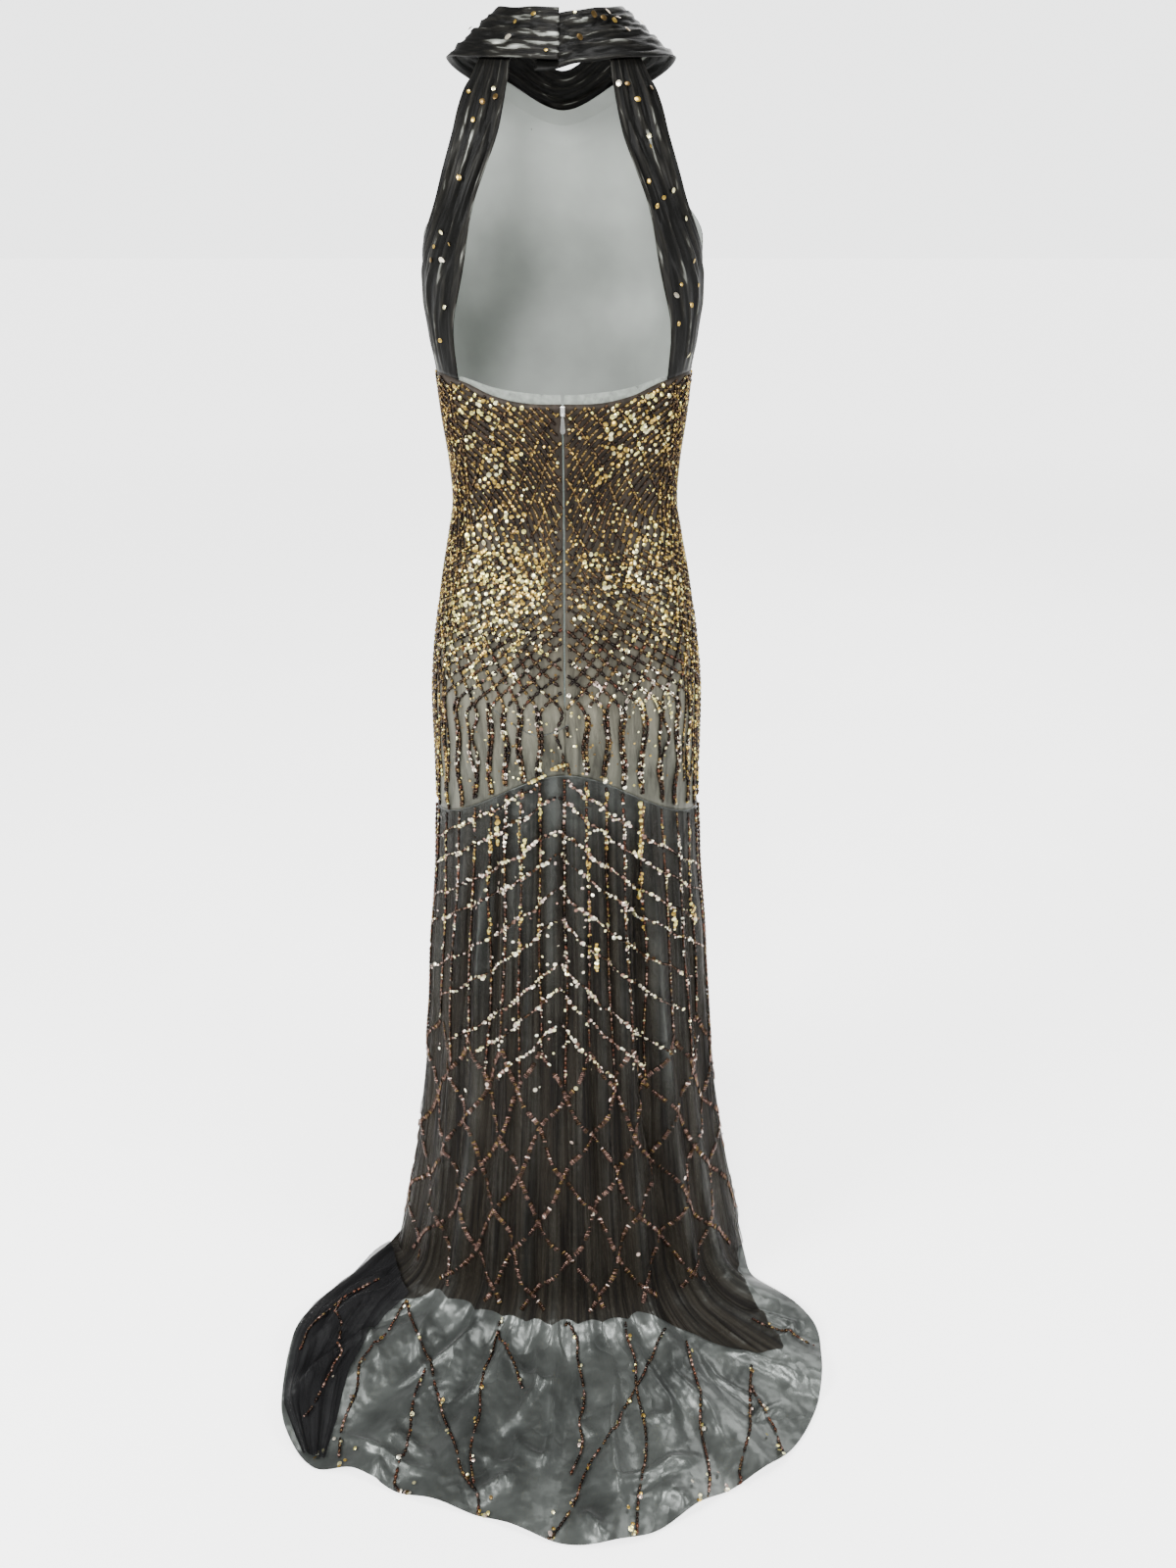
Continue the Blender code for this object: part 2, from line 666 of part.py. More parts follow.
def make_pull(material, group, helpers):
    """The zip's pull: a flat tab that widens downwards, on a hub that turns on the pin."""
    pivot = pull_pivot()
    neck = HUB_WIDTH / 2
    half = PULL_WIDTH / 2
    side = (
        (neck, 0.0),
        (neck, -PULL_SHOULDER),
        (0.6 * half, -PULL_SHOULDER - 0.0008),
        (half, -PULL_LENGTH + 0.0030),
        (0.85 * half, -PULL_LENGTH + 0.0011),
        (0.45 * half, -PULL_LENGTH),
    )
    outline = list(side) + [(-x, z) for x, z in reversed(side)]
    form = bmesh.new()
    corners = [form.verts.new((x, -PULL_WALL / 2, z)) for x, z in outline]
    face = form.faces.new(corners)
    pushed = bmesh.ops.extrude_face_region(form, geom=[face])["geom"]
    moved = [item for item in pushed if isinstance(item, bmesh.types.BMVert)]
    bmesh.ops.translate(form, verts=moved, vec=(0, PULL_WALL, 0))
    bmesh.ops.recalc_face_normals(form, faces=form.faces)
    pull = add_object("zip_pull", mesh_from(form, "zip_pull"), material, group)
    pull.location = pivot
    place = Matrix.Translation(pivot)
    hub = make_rod("pull_hub", HUB_RADIUS, HUB_WIDTH, place, material, helpers)
    hole = make_rod("pull_hole", PIN_RADIUS + RUNNING_GAP, 3 * HUB_WIDTH, place, material, helpers)
    combine(pull, hub, "UNION")
    combine(pull, hole, "DIFFERENCE")


def make_bodice_front(material, group):
    """One panel from the hip seam up under the neckband, cut away at both armholes."""

    def place(across, up):
        body = min(up / (1 - FRONT_TUCKED), 1.0)
        edge = read(ARMHOLE, ARMHOLE_COLUMNS, "direction", mix(SEAM_SIDE, FRONT_TOP, body))
        edge = max(edge, 90 + seam_margin(TORSO_RADIUS))
        direction = mix(edge, 360 - edge, across)
        if body < 1:
            low = seam_height(direction) + SEAM_GAP / 2
            band = read(RINGS, RING_COLUMNS, "low_height", 180 - abs(direction - 180))
            return figure_spot(mix(low, band - NECK_CLEARANCE, body), direction)
        rise = mix(TUCK_START, FRONT_TUCK_RISE, (up - 1 + FRONT_TUCKED) / FRONT_TUCKED)
        return collar_spot(direction, rise, -COLLAR_TUCK)

    columns = round(180 / FRONT_STEP)
    make_panel("bodice_front", columns, FRONT_ROWS, place, WALL, material, group)


def make_straps(material, group):
    """Ruched back straps, from the bodice's top edge up under the neckband."""
    for name, side in (("strap_left", 1), ("strap_right", -1)):

        def place(across, up, side=side):
            body = min(up / (1 - STRAP_TUCKED), 1.0)
            low = back_edges(mix(STRAP_START, 90.0, across))[1] + SEAM_GAP
            height = mix(low, STRAP_TOP, body)
            inner = read(STRAP, STRAP_COLUMNS, "inner", height)
            outer = read(STRAP, STRAP_COLUMNS, "outer", height)
            outer = min(outer, 90 - seam_margin(TORSO_RADIUS))
            direction = side * mix(inner, outer, across)
            if body == 1:
                rise = mix(TUCK_START, STRAP_TUCK_RISE, (up - 1 + STRAP_TUCKED) / STRAP_TUCKED)
                return collar_spot(direction, rise, -COLLAR_TUCK)
            # the folds die out at all four edges
            held = ease(across * 6) * ease((1 - across) * 6) * ease(up * 6) * ease(8 * (1 - up))
            ruche = STRAP_RUCHE * math.sin(2 * math.pi * STRAP_FOLDS * across + 0.6) * held
            return figure_spot(height, direction, ruche)

        make_panel(name, STRAP_COLUMNS_ACROSS, STRAP_ROWS, place, STRAP_WALL, material, group)


def make_collar(material, group):
    size = COLLAR_COLUMNS, COLLAR_ROWS
    make_panel("neckband", *size, collar_panel_spot, COLLAR_WALL, material, group)


def make_skirts(material, group):
    margin = seam_margin(HIP_RADIUS)

    def back(across, up):
        return skirt_spot(mix(-90 + margin, 90 - margin, across), up, BACK_FLUTES)

    def front(across, up):
        return skirt_spot(mix(90 + margin, 270 - margin, across), up, FRONT_FLUTES)

    rows = sum(BACK_ROW_STAGES)
    make_panel("skirt_back", SKIRT_BACK_COLUMNS, rows, back, WALL, material, group)
    make_panel("skirt_front", SKIRT_FRONT_COLUMNS, rows, front, WALL, material, group)


def main():
    for item in list(bpy.data.objects):
        bpy.data.objects.remove(item)
    group = bpy.data.collections.new("evening_gown")
    helpers = bpy.data.collections.new("joined_and_cut_shapes")
    for collection in (group, helpers):
        bpy.context.scene.collection.children.link(collection)
    satin = make_material("beaded net over satin", (0.16, 0.14, 0.11), 0.45, 0.0)
    skirt = make_material("dark net over satin", (0.10, 0.10, 0.09), 0.5, 0.0)
    net = make_material("ruched dark net", (0.03, 0.028, 0.026), 0.6, 0.0)
    sheer = make_material("sheer edging", (0.45, 0.48, 0.42), 0.6, 0.0)
    nickel = make_material("nickel-plated zinc", (0.75, 0.74, 0.72), 0.3, 1.0)
    make_collar(net, group)
    make_straps(net, group)
    make_bodice_front(satin, group)
    make_bodice_backs(satin, group)
    make_edging(sheer, group)
    make_skirts(skirt, group)
    make_zip_tape(sheer, group)
    make_slider(nickel, group, helpers)
    make_pull(nickel, group, helpers)


main()
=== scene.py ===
# %% [markdown]
# # A beaded halter evening gown with a train
# The real gown is made of a few cloth layers: silver-grey satin, dark net over it, and strings of
# tiny glass beads and round sequins sewn through both. The model follows the same order. First
# comes one surface for the whole figure, then each cloth is laid on it, then the beads on the
# cloth. That way nothing floats, from whichever side the gown is seen.

# %% Load the fixed frame
import math
import bmesh
import bpy
import numpy as np
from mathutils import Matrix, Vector, noise


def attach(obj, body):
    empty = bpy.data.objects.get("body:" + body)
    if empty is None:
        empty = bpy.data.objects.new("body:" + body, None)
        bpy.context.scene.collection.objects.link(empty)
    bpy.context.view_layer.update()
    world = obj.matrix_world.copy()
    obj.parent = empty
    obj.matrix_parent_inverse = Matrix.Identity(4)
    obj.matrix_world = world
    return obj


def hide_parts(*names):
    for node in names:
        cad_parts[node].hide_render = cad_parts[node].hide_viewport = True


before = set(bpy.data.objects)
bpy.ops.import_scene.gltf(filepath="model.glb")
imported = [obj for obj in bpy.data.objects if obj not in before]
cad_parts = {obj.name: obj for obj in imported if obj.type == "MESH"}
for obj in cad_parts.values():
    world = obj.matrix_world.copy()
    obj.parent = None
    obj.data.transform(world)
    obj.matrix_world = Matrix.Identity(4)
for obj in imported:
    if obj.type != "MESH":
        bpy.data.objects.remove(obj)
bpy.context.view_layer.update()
print("frame nodes:", ", ".join(sorted(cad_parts)))

# %% [markdown]
# ## Camera, floor and light
# The camera stands behind the gown a little above chest height and looks down, so that the train
# shows. A pale paper floor and large soft lamps keep the satin readable: satin shows its folds only
# where a broad bright lamp meets a darker side.

# %% Camera
HOLD_HEIGHT = 1.480  # the frame's origin, in the middle of the neck loop, above the floor
FRAME_HEIGHT_PIXELS = 1600
FOCAL_PIXELS = 1186
LOOK_DOWN = 26.2  # degrees


def add_item(name, data):
    """A new object in the scene."""
    item = bpy.data.objects.new(name, data)
    bpy.context.scene.collection.objects.link(item)
    return item


lens = bpy.data.cameras.new("studio_camera")
lens.sensor_width = 36
lens.lens = FOCAL_PIXELS / FRAME_HEIGHT_PIXELS * lens.sensor_width
camera = add_item("studio_camera", lens)
camera.location = (-0.025, 1.273, 1.350 - HOLD_HEIGHT)
camera.rotation_euler = (math.radians(90 - LOOK_DOWN), 0, math.radians(180))
bpy.context.scene.camera = camera
print("lens", round(lens.lens, 1), "mm")

# %% [markdown]
# ## Helpers for materials
# Colours are picked as sRGB hex values, as in any paint program, but shaders work in linear
# light, so one function converts them. A recipe holds the nodes of one material, and one small
# function of it adds a node with its settings and links.


# %% Colours
def linear(hex_colour):
    """An sRGB hex colour as linear RGBA."""
    parts = [int(hex_colour[k : k + 2], 16) / 255 for k in (1, 3, 5)]
    light = [p / 12.92 if p <= 0.04045 else ((p + 0.055) / 1.055) ** 2.4 for p in parts]
    return (*light, 1.0)


print("linear mid grey:", [round(c, 3) for c in linear("#808080")[:3]])


# %% Node recipes
class Recipe:
    """The nodes of a material, or of the room. Each step gives the socket that it ends in."""

    def __init__(self, name, kind="materials", last="Principled BSDF"):
        self.made = getattr(bpy.data, kind).new(name)
        self.made.use_nodes = True
        self.tree = self.made.node_tree
        self.last = self.tree.nodes[last]

    def feed(self, node, inputs):
        for name, value in inputs.items():
            if isinstance(value, bpy.types.NodeSocket):
                self.tree.links.new(value, node.inputs[name])
            else:
                node.inputs[name].default_value = value

    def add(self, kind, inputs, out=0, **settings):
        """One more node. inputs are values or sockets, by name or number."""
        node = self.tree.nodes.new("ShaderNode" + kind)
        for name, value in settings.items():
            setattr(node, name, value)
        self.feed(node, inputs)
        return node.outputs[out]

    def place(self):
        return self.add("TexCoord", {}, "Object")

    def cloth(self):
        return self.add("UVMap", {}, uv_map="cloth")

    def stretched(self, vector, *scale):
        return self.add("Mapping", {"Vector": vector, "Scale": scale})

    def grain(self, vector, scale, detail=2.0, rough=0.5, distortion=0.0, **settings):
        inputs = {"Vector": vector, "Scale": scale, "Detail": detail, "Roughness": rough}
        return self.add("TexNoise", {**inputs, "Distortion": distortion}, **settings)

    def span(self, value, low, high, to_low=0.0, to_high=1.0):
        """Carries a value from one span to another."""
        inputs = {"Value": value, "From Min": low, "From Max": high}
        return self.add("MapRange", {**inputs, "To Min": to_low, "To Max": to_high})

    def times(self, first, second, plus=None, **settings):
        if plus is None:
            return self.add("Math", {0: first, 1: second}, operation="MULTIPLY", **settings)
        return self.add("Math", {0: first, 1: second, 2: plus}, operation="MULTIPLY_ADD")

    def scaled(self, vector, scale):
        return self.add("VectorMath", {0: vector, "Scale": scale}, operation="SCALE")

    def ramp(self, value, *stops):
        """Colours by value. Each stop is a place and a hex colour."""
        colour = self.add("ValToRGB", {"Fac": value})
        elements = colour.node.color_ramp.elements
        for number, (place, hex_colour) in enumerate(stops):
            element = elements[number] if number < 2 else elements.new(place)
            element.position = place
            element.color = linear(hex_colour)
        return colour

    def relief(self, height, strength, distance, under=None):
        """A bump, on top of the one under it."""
        inputs = {"Height": height, "Strength": strength, "Distance": distance}
        return self.add("Bump", {**inputs, "Normal": under} if under else inputs)

    def finish(self, inputs):
        """Feeds the last shader and gives the material."""
        self.feed(self.last, inputs)
        return self.made


print("recipes ready")

# %% Paper floor
sheet = Recipe("matt white background paper")
# Uncoated paper: no gloss, a faint unevenness of tone from its fibres.
place = sheet.place()
fibres = sheet.ramp(sheet.grain(place, 3.0, 3.0), (0.3, "#f1f1f0"), (0.7, "#f7f7f6"))
# It lies on a light table, whose glow through the sheet keeps the floor white round the train. The
# light that it throws on the gown ends behind it, where the studio is dim. Seen itself, it is even.
towards_camera = sheet.add("SeparateXYZ", {0: place}, "Y")
near_glow = sheet.span(towards_camera, 0.3, 1.0, 1.0, 0.0)
glow = sheet.times(near_glow, sheet.span(towards_camera, -7.0, -0.5, 1.8, 1.2))
even = sheet.span(sheet.add("VectorMath", {0: place}, "Value", operation="LENGTH"), 1.6, 7.2, 2.4, 3.2)
seen = sheet.add("LightPath", {}, "Is Camera Ray")
paper = sheet.finish({
    "Base Color": fibres, "Roughness": 0.9, "Emission Color": linear("#ffffff"),
    "Emission Strength": sheet.span(seen, 0.0, 1.0, glow, even),
})


def to_mesh(form, name):
    """A mesh of a finished form, which is then freed."""
    mesh = bpy.data.meshes.new(name)
    form.to_mesh(mesh)
    form.free()
    return mesh


form = bmesh.new()
bmesh.ops.create_grid(form, x_segments=2, y_segments=2, size=40.0)
bmesh.ops.translate(form, verts=form.verts, vec=(0, 0, -HOLD_HEIGHT - 0.0005))
paper_floor = add_item("paper_floor", to_mesh(form, "paper_floor"))
paper_floor.data.materials.append(paper)
print("floor laid", HOLD_HEIGHT, "m below the origin")

# %% Soft lamps and the room
# To the eye the room is one even pale wall. The light it throws comes from a low white band beyond
# the gown. The rest is dim, so that satin and sequins mirror something dark between the lamps.
LAMPS = (
    # name, place, size in metres, watts
    ("left key", (2.1, 1.3, 0.55), 1.1, 120), ("back key", (0.5, 2.9, 1), 0.9, 105),
    ("right fill", (-2.2, 1.3, 0.3), 1.1, 75), ("top", (0, 0.5, 2.6), 1.2, 80),
    ("front", (-1.2, -2.8, 1.6), 2.4, 95),
)
for name, spot, size, watts in LAMPS:
    lamp = bpy.data.lights.new(name, "AREA")
    lamp.shape = "DISK"
    lamp.size = size
    lamp.energy = watts
    item = add_item(name, lamp)
    item.location = spot
    aim = Vector((0, 0, -0.6)) - Vector(spot)
    item.rotation_euler = aim.to_track_quat("-Z", "Y").to_euler()

room = Recipe("studio_room", "worlds", "Background")
way = room.add("SeparateXYZ", {0: room.add("TexCoord", {}, "Generated")}).node.outputs
beyond = room.span(way["Y"], -0.45, 0.30, 1.0, 0.0)
below_top = room.span(way["Z"], 0.15, 0.40, 1.75, 0.0)
seen = room.add("LightPath", {}, "Is Camera Ray")
level = room.span(seen, 0.0, 1.0, room.times(beyond, below_top, 0.28), 3.5)
bpy.context.scene.world = room.finish({"Color": linear("#f6f7f7"), "Strength": level})
print("lamps:", len(LAMPS))

# %% [markdown]
# ## One surface for the whole figure
# Every cloth lies on the same body shape. It is a stack of rounded sections, each with a half
# width, a back depth, a front depth and a squareness. A height and a direction give a point on it.
# Direction is in degrees round the body: 0 at the centre back, 90 at the wearer's left side. The
# tables are the same ones that shaped the solid model, so cloth and solid agree everywhere.

# %% The figure's sections
FIGURE = (
    # height, half width, back, front, squareness
    (0, 0.25, 0.186, 0.176, 2.1), (0.12, 0.223, 0.17, 0.16, 2.1), (0.265, 0.198, 0.152, 0.143, 2.12),
    (0.399, 0.182, 0.14, 0.128, 2.15), (0.524, 0.172, 0.13, 0.118, 2.2), (0.64, 0.16, 0.123, 0.111, 2.2),
    (0.748, 0.156, 0.117, 0.108, 2.2), (0.85, 0.154, 0.118, 0.107, 2.2),
    (0.898, 0.15, 0.114, 0.106, 2.2), (0.945, 0.143, 0.104, 0.103, 2.2),
    (0.991, 0.135, 0.091, 0.098, 2.25), (1.035, 0.126, 0.08, 0.093, 2.3),
    (1.067, 0.12, 0.075, 0.091, 2.3), (1.11, 0.121, 0.077, 0.093, 2.35),
    (1.16, 0.127, 0.083, 0.104, 2.4), (1.204, 0.131, 0.088, 0.12, 2.45),
    (1.24, 0.136, 0.091, 0.131, 2.5), (1.274, 0.139, 0.092, 0.133, 2.5),
    (1.31, 0.139, 0.093, 0.124, 2.45), (1.35, 0.146, 0.094, 0.106, 2.4), (1.39, 0.158, 0.09, 0.09, 2.4),
    (1.425, 0.157, 0.081, 0.081, 2.35), (1.448, 0.143, 0.074, 0.077, 2.3),
    (1.462, 0.117, 0.07, 0.075, 2.2),
)
BUST_HEIGHT = 1.258
BUST_DIRECTION = 33.0  # degrees either side of the centre front
BUST_RISE = 0.007


def smooth(table, at, column):
    """A column of a table at any values of its first column, on a smooth curve."""
    x, y = np.asarray(table, float)[:, [0, column]].T
    at = np.clip(at, x[0], x[-1])
    k = np.clip(np.searchsorted(x, at, side="right") - 1, 0, len(x) - 2)
    before = np.maximum(np.arange(len(x)) - 1, 0)
    after = np.minimum(np.arange(len(x)) + 1, len(x) - 1)
    slope = (y[after] - y[before]) / (x[after] - x[before])
    reach = x[k + 1] - x[k]
    t = (at - x[k]) / reach
    level = y[k] * (2 * t**3 - 3 * t**2 + 1) + y[k + 1] * (3 * t**2 - 2 * t**3)
    return level + slope[k] * reach * (t**3 - 2 * t**2 + t) + slope[k + 1] * reach * (t**3 - t**2)


def mix(start, end, share):
    return start + (end - start) * share


def ease(share):
    """0 to 1 with a soft start and end."""
    share = np.clip(share, 0.0, 1.0)
    return share * share * (3 - 2 * share)


def bump(distance):
    """1 in the middle, falling softly to 0 at a distance of 1."""
    return np.where(np.abs(distance) < 1, np.cos(np.pi / 2 * distance) ** 2, 0.0)


print("waist width, mm:", round(float(smooth(FIGURE, 1.067, 1)) * 2000))


# %% Points on the figure
def unit(vectors):
    return vectors / np.maximum(np.linalg.norm(vectors, axis=-1, keepdims=True), 1e-12)


def rounded_radius(direction, half_width, back, front, squareness):
    """The radius of a superellipse whose back and front have their own depths."""
    angle = np.radians(direction)
    depth = np.where(np.cos(angle) > 0, back, front)
    wide = np.abs(np.sin(angle) / half_width) ** squareness
    deep = np.abs(np.cos(angle) / depth) ** squareness
    return (wide + deep) ** (-1 / squareness)


def figure_radius(height, direction):
    section = [smooth(FIGURE, height, column) for column in (1, 2, 3, 4)]
    off_front = np.abs(np.abs(direction % 360 - 180) - BUST_DIRECTION)
    bust = BUST_RISE * bump(off_front / 30) * bump((height - BUST_HEIGHT) / 0.085)
    return rounded_radius(direction, *section) + bust


def spot_at(radius, height, direction):
    """Points of this radius and height, in the frame's own metres, one to a row."""
    angle = np.radians(direction)
    shape = (radius * np.sin(angle), radius * np.cos(angle), height - HOLD_HEIGHT)
    return np.stack(np.broadcast_arrays(*shape), axis=-1)


def figure_spot(height, direction, out=0.0):
    return spot_at(figure_radius(height, direction) + out, height, direction)


print("waist radius at the back, mm:", round(float(figure_radius(1.067, 0.0)) * 1000))

# %% [markdown]
# ## From a rule to a cloth
# A cloth panel is a flat grid made by Blender's own grid operator. Each of its points knows how
# far across and how far up the panel it is, and a rule moves it to its place on the gown. The
# grid's UV map is kept in real metres, so that weave and creases can follow the cloth.

# %% A helper that lays a grid
laid = {}  # each cloth's shares across and up, for the values that are stored on its points


def read(items, attribute, width=3):
    """One attribute of all the items, one row each."""
    values = np.empty(len(items) * width)
    items.foreach_get(attribute, values)
    return values.reshape(-1, width)


def lay_cloth(name, columns, rows, rule, size=(1.0, 1.0), facing=None):
    """A grid laid out by rule(across, up). size is the panel's real width and height. Its faces
    point away from the body's axis, or the way that facing says."""
    form = bmesh.new()
    form.loops.layers.uv.new("cloth")
    bmesh.ops.create_grid(form, x_segments=columns, y_segments=rows, size=1.0, calc_uvs=True)
    mesh = to_mesh(form, name)
    flat = read(mesh.vertices, "co")
    laid[name] = (flat[:, 0] + 1) / 2, (flat[:, 1] + 1) / 2
    mesh.vertices.foreach_set("co", np.asarray(rule(*laid[name]), float).ravel())
    uv = mesh.uv_layers["cloth"].data
    uv.foreach_set("uv", (read(uv, "uv", 2) * size).ravel())
    mesh.update()
    outward = read(mesh.polygons, "center") * (1, 1, 0) if facing is None else np.array(facing)
    if (read(mesh.polygons, "normal") * outward).sum() < 0:
        mesh.flip_normals()
    mesh.shade_smooth()
    return add_item(name, mesh)


def finish_piece(piece, slot, nodes, *materials):
    """Gives a piece its materials, lets it ride on the gown and hides the solid's parts that it replaces.
    Its slot is not used.
    """
    piece.data.materials.clear()
    for material in materials:
        piece.data.materials.append(material)
    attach(piece, "gown")
    if nodes:
        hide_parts(*nodes)
    area = float(read(piece.data.polygons, "area", 1).sum())
    print(piece.name, len(piece.data.polygons), "faces,", round(area, 4), "m2")


def give_wall(piece, thickness, lined=False):
    """A live Solidify modifier, half the wall to each side. A lined wall's inner side takes the
    piece's second material."""
    wall = piece.modifiers.new("wall", "SOLIDIFY")
    wall.thickness = thickness
    wall.offset = 0.0
    wall.material_offset = 1 if lined else 0


def mark(piece, attribute, values):
    """Stores a value on each of the piece's points, for its material to read."""
    layer = piece.data.attributes.new(attribute, "FLOAT", "POINT")
    layer.data.foreach_set("value", np.asarray(values, float))


print("helpers ready")

# %% [markdown]
# ## The skirt's own map
# The skirt falls from an arched seam at the hips, bends and runs out over the floor as a train.
# Its cloth, its folds and later its bead strings all need the same surface, so it is worked out
# once, as a map over direction and fall. The fall is a height while the cloth hangs, and goes on
# below zero along the floor. Flutes stand out where the gathers open, and creases are added from
# tables, each with its own place, width and depth.

# %% Seam, train and flutes
SEAM_CENTRE = 0.791
SEAM_SIDE = 0.708
SEAM_ROUNDNESS = 2.2
SKIRT_LEVEL = 0.001  # the middle of the cloth where it lies on the floor
BEND_HEIGHT = 0.065
TRAIN = (
    # direction, how far the train reaches from the body's axis
    (-90, 0.236), (-80, 0.252), (-72, 0.264), (-67.5, 0.276), (-65, 0.298), (-62, 0.352), (-59, 0.386),
    (-54, 0.408), (-45, 0.44), (-35, 0.457), (-22, 0.458), (-8, 0.48), (0, 0.477), (12, 0.457),
    (26, 0.463), (33, 0.47), (38, 0.492), (45, 0.488), (52, 0.462), (58, 0.432), (63, 0.405), (67, 0.37),
    (71, 0.32), (75.5, 0.285), (82, 0.258), (90, 0.24),
)
FLUTES = (
    # direction at the hip, at the hem, half width in degrees, how far it stands out
    (-72, -76, 7.5, 0.012), (-58, -62, 7.5, 0.012), (-46, -51, 7, 0.013), (-37, -44, 4.5, -0.012),
    (-28, -31, 6, 0.011), (-17.5, -19, 6, 0.009), (-6, -7, 6.5, 0.01), (7, 7, 6.5, 0.009),
    (19, 19.5, 6.5, 0.011), (30, 32, 6.5, 0.01), (42.5, 46.5, 7.5, 0.013), (56, 60, 7.5, 0.011),
    (72.5, 76, 7.5, 0.012), (104, 103, 9.5, 0.01), (121, 120, 9.5, 0.012), (139, 138, 10, 0.01),
    (157, 157, 10, 0.013), (175, 174, 10, 0.011), (193, 192, 10, 0.01), (211, 211, 10, 0.012),
    (229, 229, 10, 0.011), (247, 248, 9.5, 0.01),
)
FLUTE_START = 0.010
FLUTE_GROWTH = 0.16
FALL_LENGTH = 0.75
SIDE_FLAT = 5.0


def seam_height(direction):
    arch = np.abs(np.cos(np.radians(direction))) ** SEAM_ROUNDNESS
    return mix(SEAM_SIDE, SEAM_CENTRE, arch)


def train_run(direction):
    """How far the skirt runs on over the floor, past where it comes down."""
    turned = (direction + 180) % 360 - 180
    run = smooth(TRAIN, turned, 1) - figure_radius(SKIRT_LEVEL, direction)
    return np.where(np.cos(np.radians(direction)) > 1e-9, np.maximum(run, 0.0), 0.0)


print("train's reach behind, mm:", round(float(smooth(TRAIN, 0.0, 1)) * 1000))

# %% The map's bare surface
MAP_STEP = 0.3  # degrees
MAP_ROWS = 300
map_directions = np.arange(-90.0, 270.0 + MAP_STEP / 2, MAP_STEP)
map_run = train_run(map_directions)
off_back = np.abs((map_directions + 180) % 360 - 180)
map_bend = BEND_HEIGHT * ease((82 - off_back) / 25) * ease(map_run / 0.01)
touch = figure_radius(SKIRT_LEVEL, map_directions)
bend_top = map_bend + SKIRT_LEVEL
seam_line = seam_height(map_directions)

turn = np.linspace(0, 1, 25)[None, :]
start_radius = figure_radius(bend_top, map_directions)[:, None]
landing = (touch + np.minimum(map_bend, map_run * 0.6))[:, None]
corner = touch[:, None]
low_radius = mix(mix(start_radius, corner, turn), mix(corner, landing, turn), turn)
low_height = mix(mix(bend_top[:, None], SKIRT_LEVEL, turn), SKIRT_LEVEL, turn)
low_radius = np.hstack([low_radius, (touch + map_run)[:, None]])
low_height = np.hstack([low_height, np.full((len(touch), 1), SKIRT_LEVEL)])


def run_length(steps_across, steps_down):
    """How far along a row of steps each of its points lies."""
    lengths = np.cumsum(np.hypot(steps_across, steps_down), axis=1)
    return np.hstack([np.zeros((len(lengths), 1)), lengths])


low_length = run_length(np.diff(low_radius), np.diff(low_height))
hem_line = bend_top - low_length[:, -1]  # the fall's last value, below zero on the train

shares = np.linspace(0, 1, MAP_ROWS)[None, :]
map_fall = mix(seam_line[:, None], hem_line[:, None], shares)
map_radius = figure_radius(map_fall, map_directions[:, None])
map_height = map_fall.copy()
for k in range(len(map_directions)):
    below = map_fall[k] < bend_top[k]
    past = bend_top[k] - map_fall[k][below]
    map_radius[k][below] = np.interp(past, low_length[k], low_radius[k])
    map_height[k][below] = np.interp(past, low_length[k], low_height[k])

across_step = np.gradient(map_radius, axis=1)
down_step = np.gradient(map_height, axis=1)
stride = np.maximum(np.hypot(across_step, down_step), 1e-9)
out_radius, out_height = -down_step / stride, across_step / stride
fall_length = run_length(np.diff(map_radius), np.diff(map_height))
print("longest fall, mm:", round(float(fall_length.max()) * 1000))

# %% Flutes of the gathered skirt
flute_depth = np.zeros_like(map_radius)
whole = fall_length / fall_length[:, -1:]
for hip, hem, half_width, rise in FLUTES:
    middle = mix(hip, hem, whole)
    flute_depth += rise * bump((map_directions[:, None] - middle) / half_width)
grown = ease((fall_length - FLUTE_START) / FLUTE_GROWTH) / 3
grown += ease((fall_length - FLUTE_START) / FALL_LENGTH) * 2 / 3
off_side = np.min([np.abs(map_directions - side) for side in (-90, 90, 270)], axis=0)
flute_depth *= grown * ease(off_side / SIDE_FLAT)[:, None]
map_lying = ease(1.5 * out_height)
lying_depth = np.maximum(flute_depth, 0) * ease(map_run / 0.08)[:, None]
flute_depth = mix(flute_depth, lying_depth, map_lying)
print("flutes reach, mm:", round(float(flute_depth.max()) * 1000, 1))
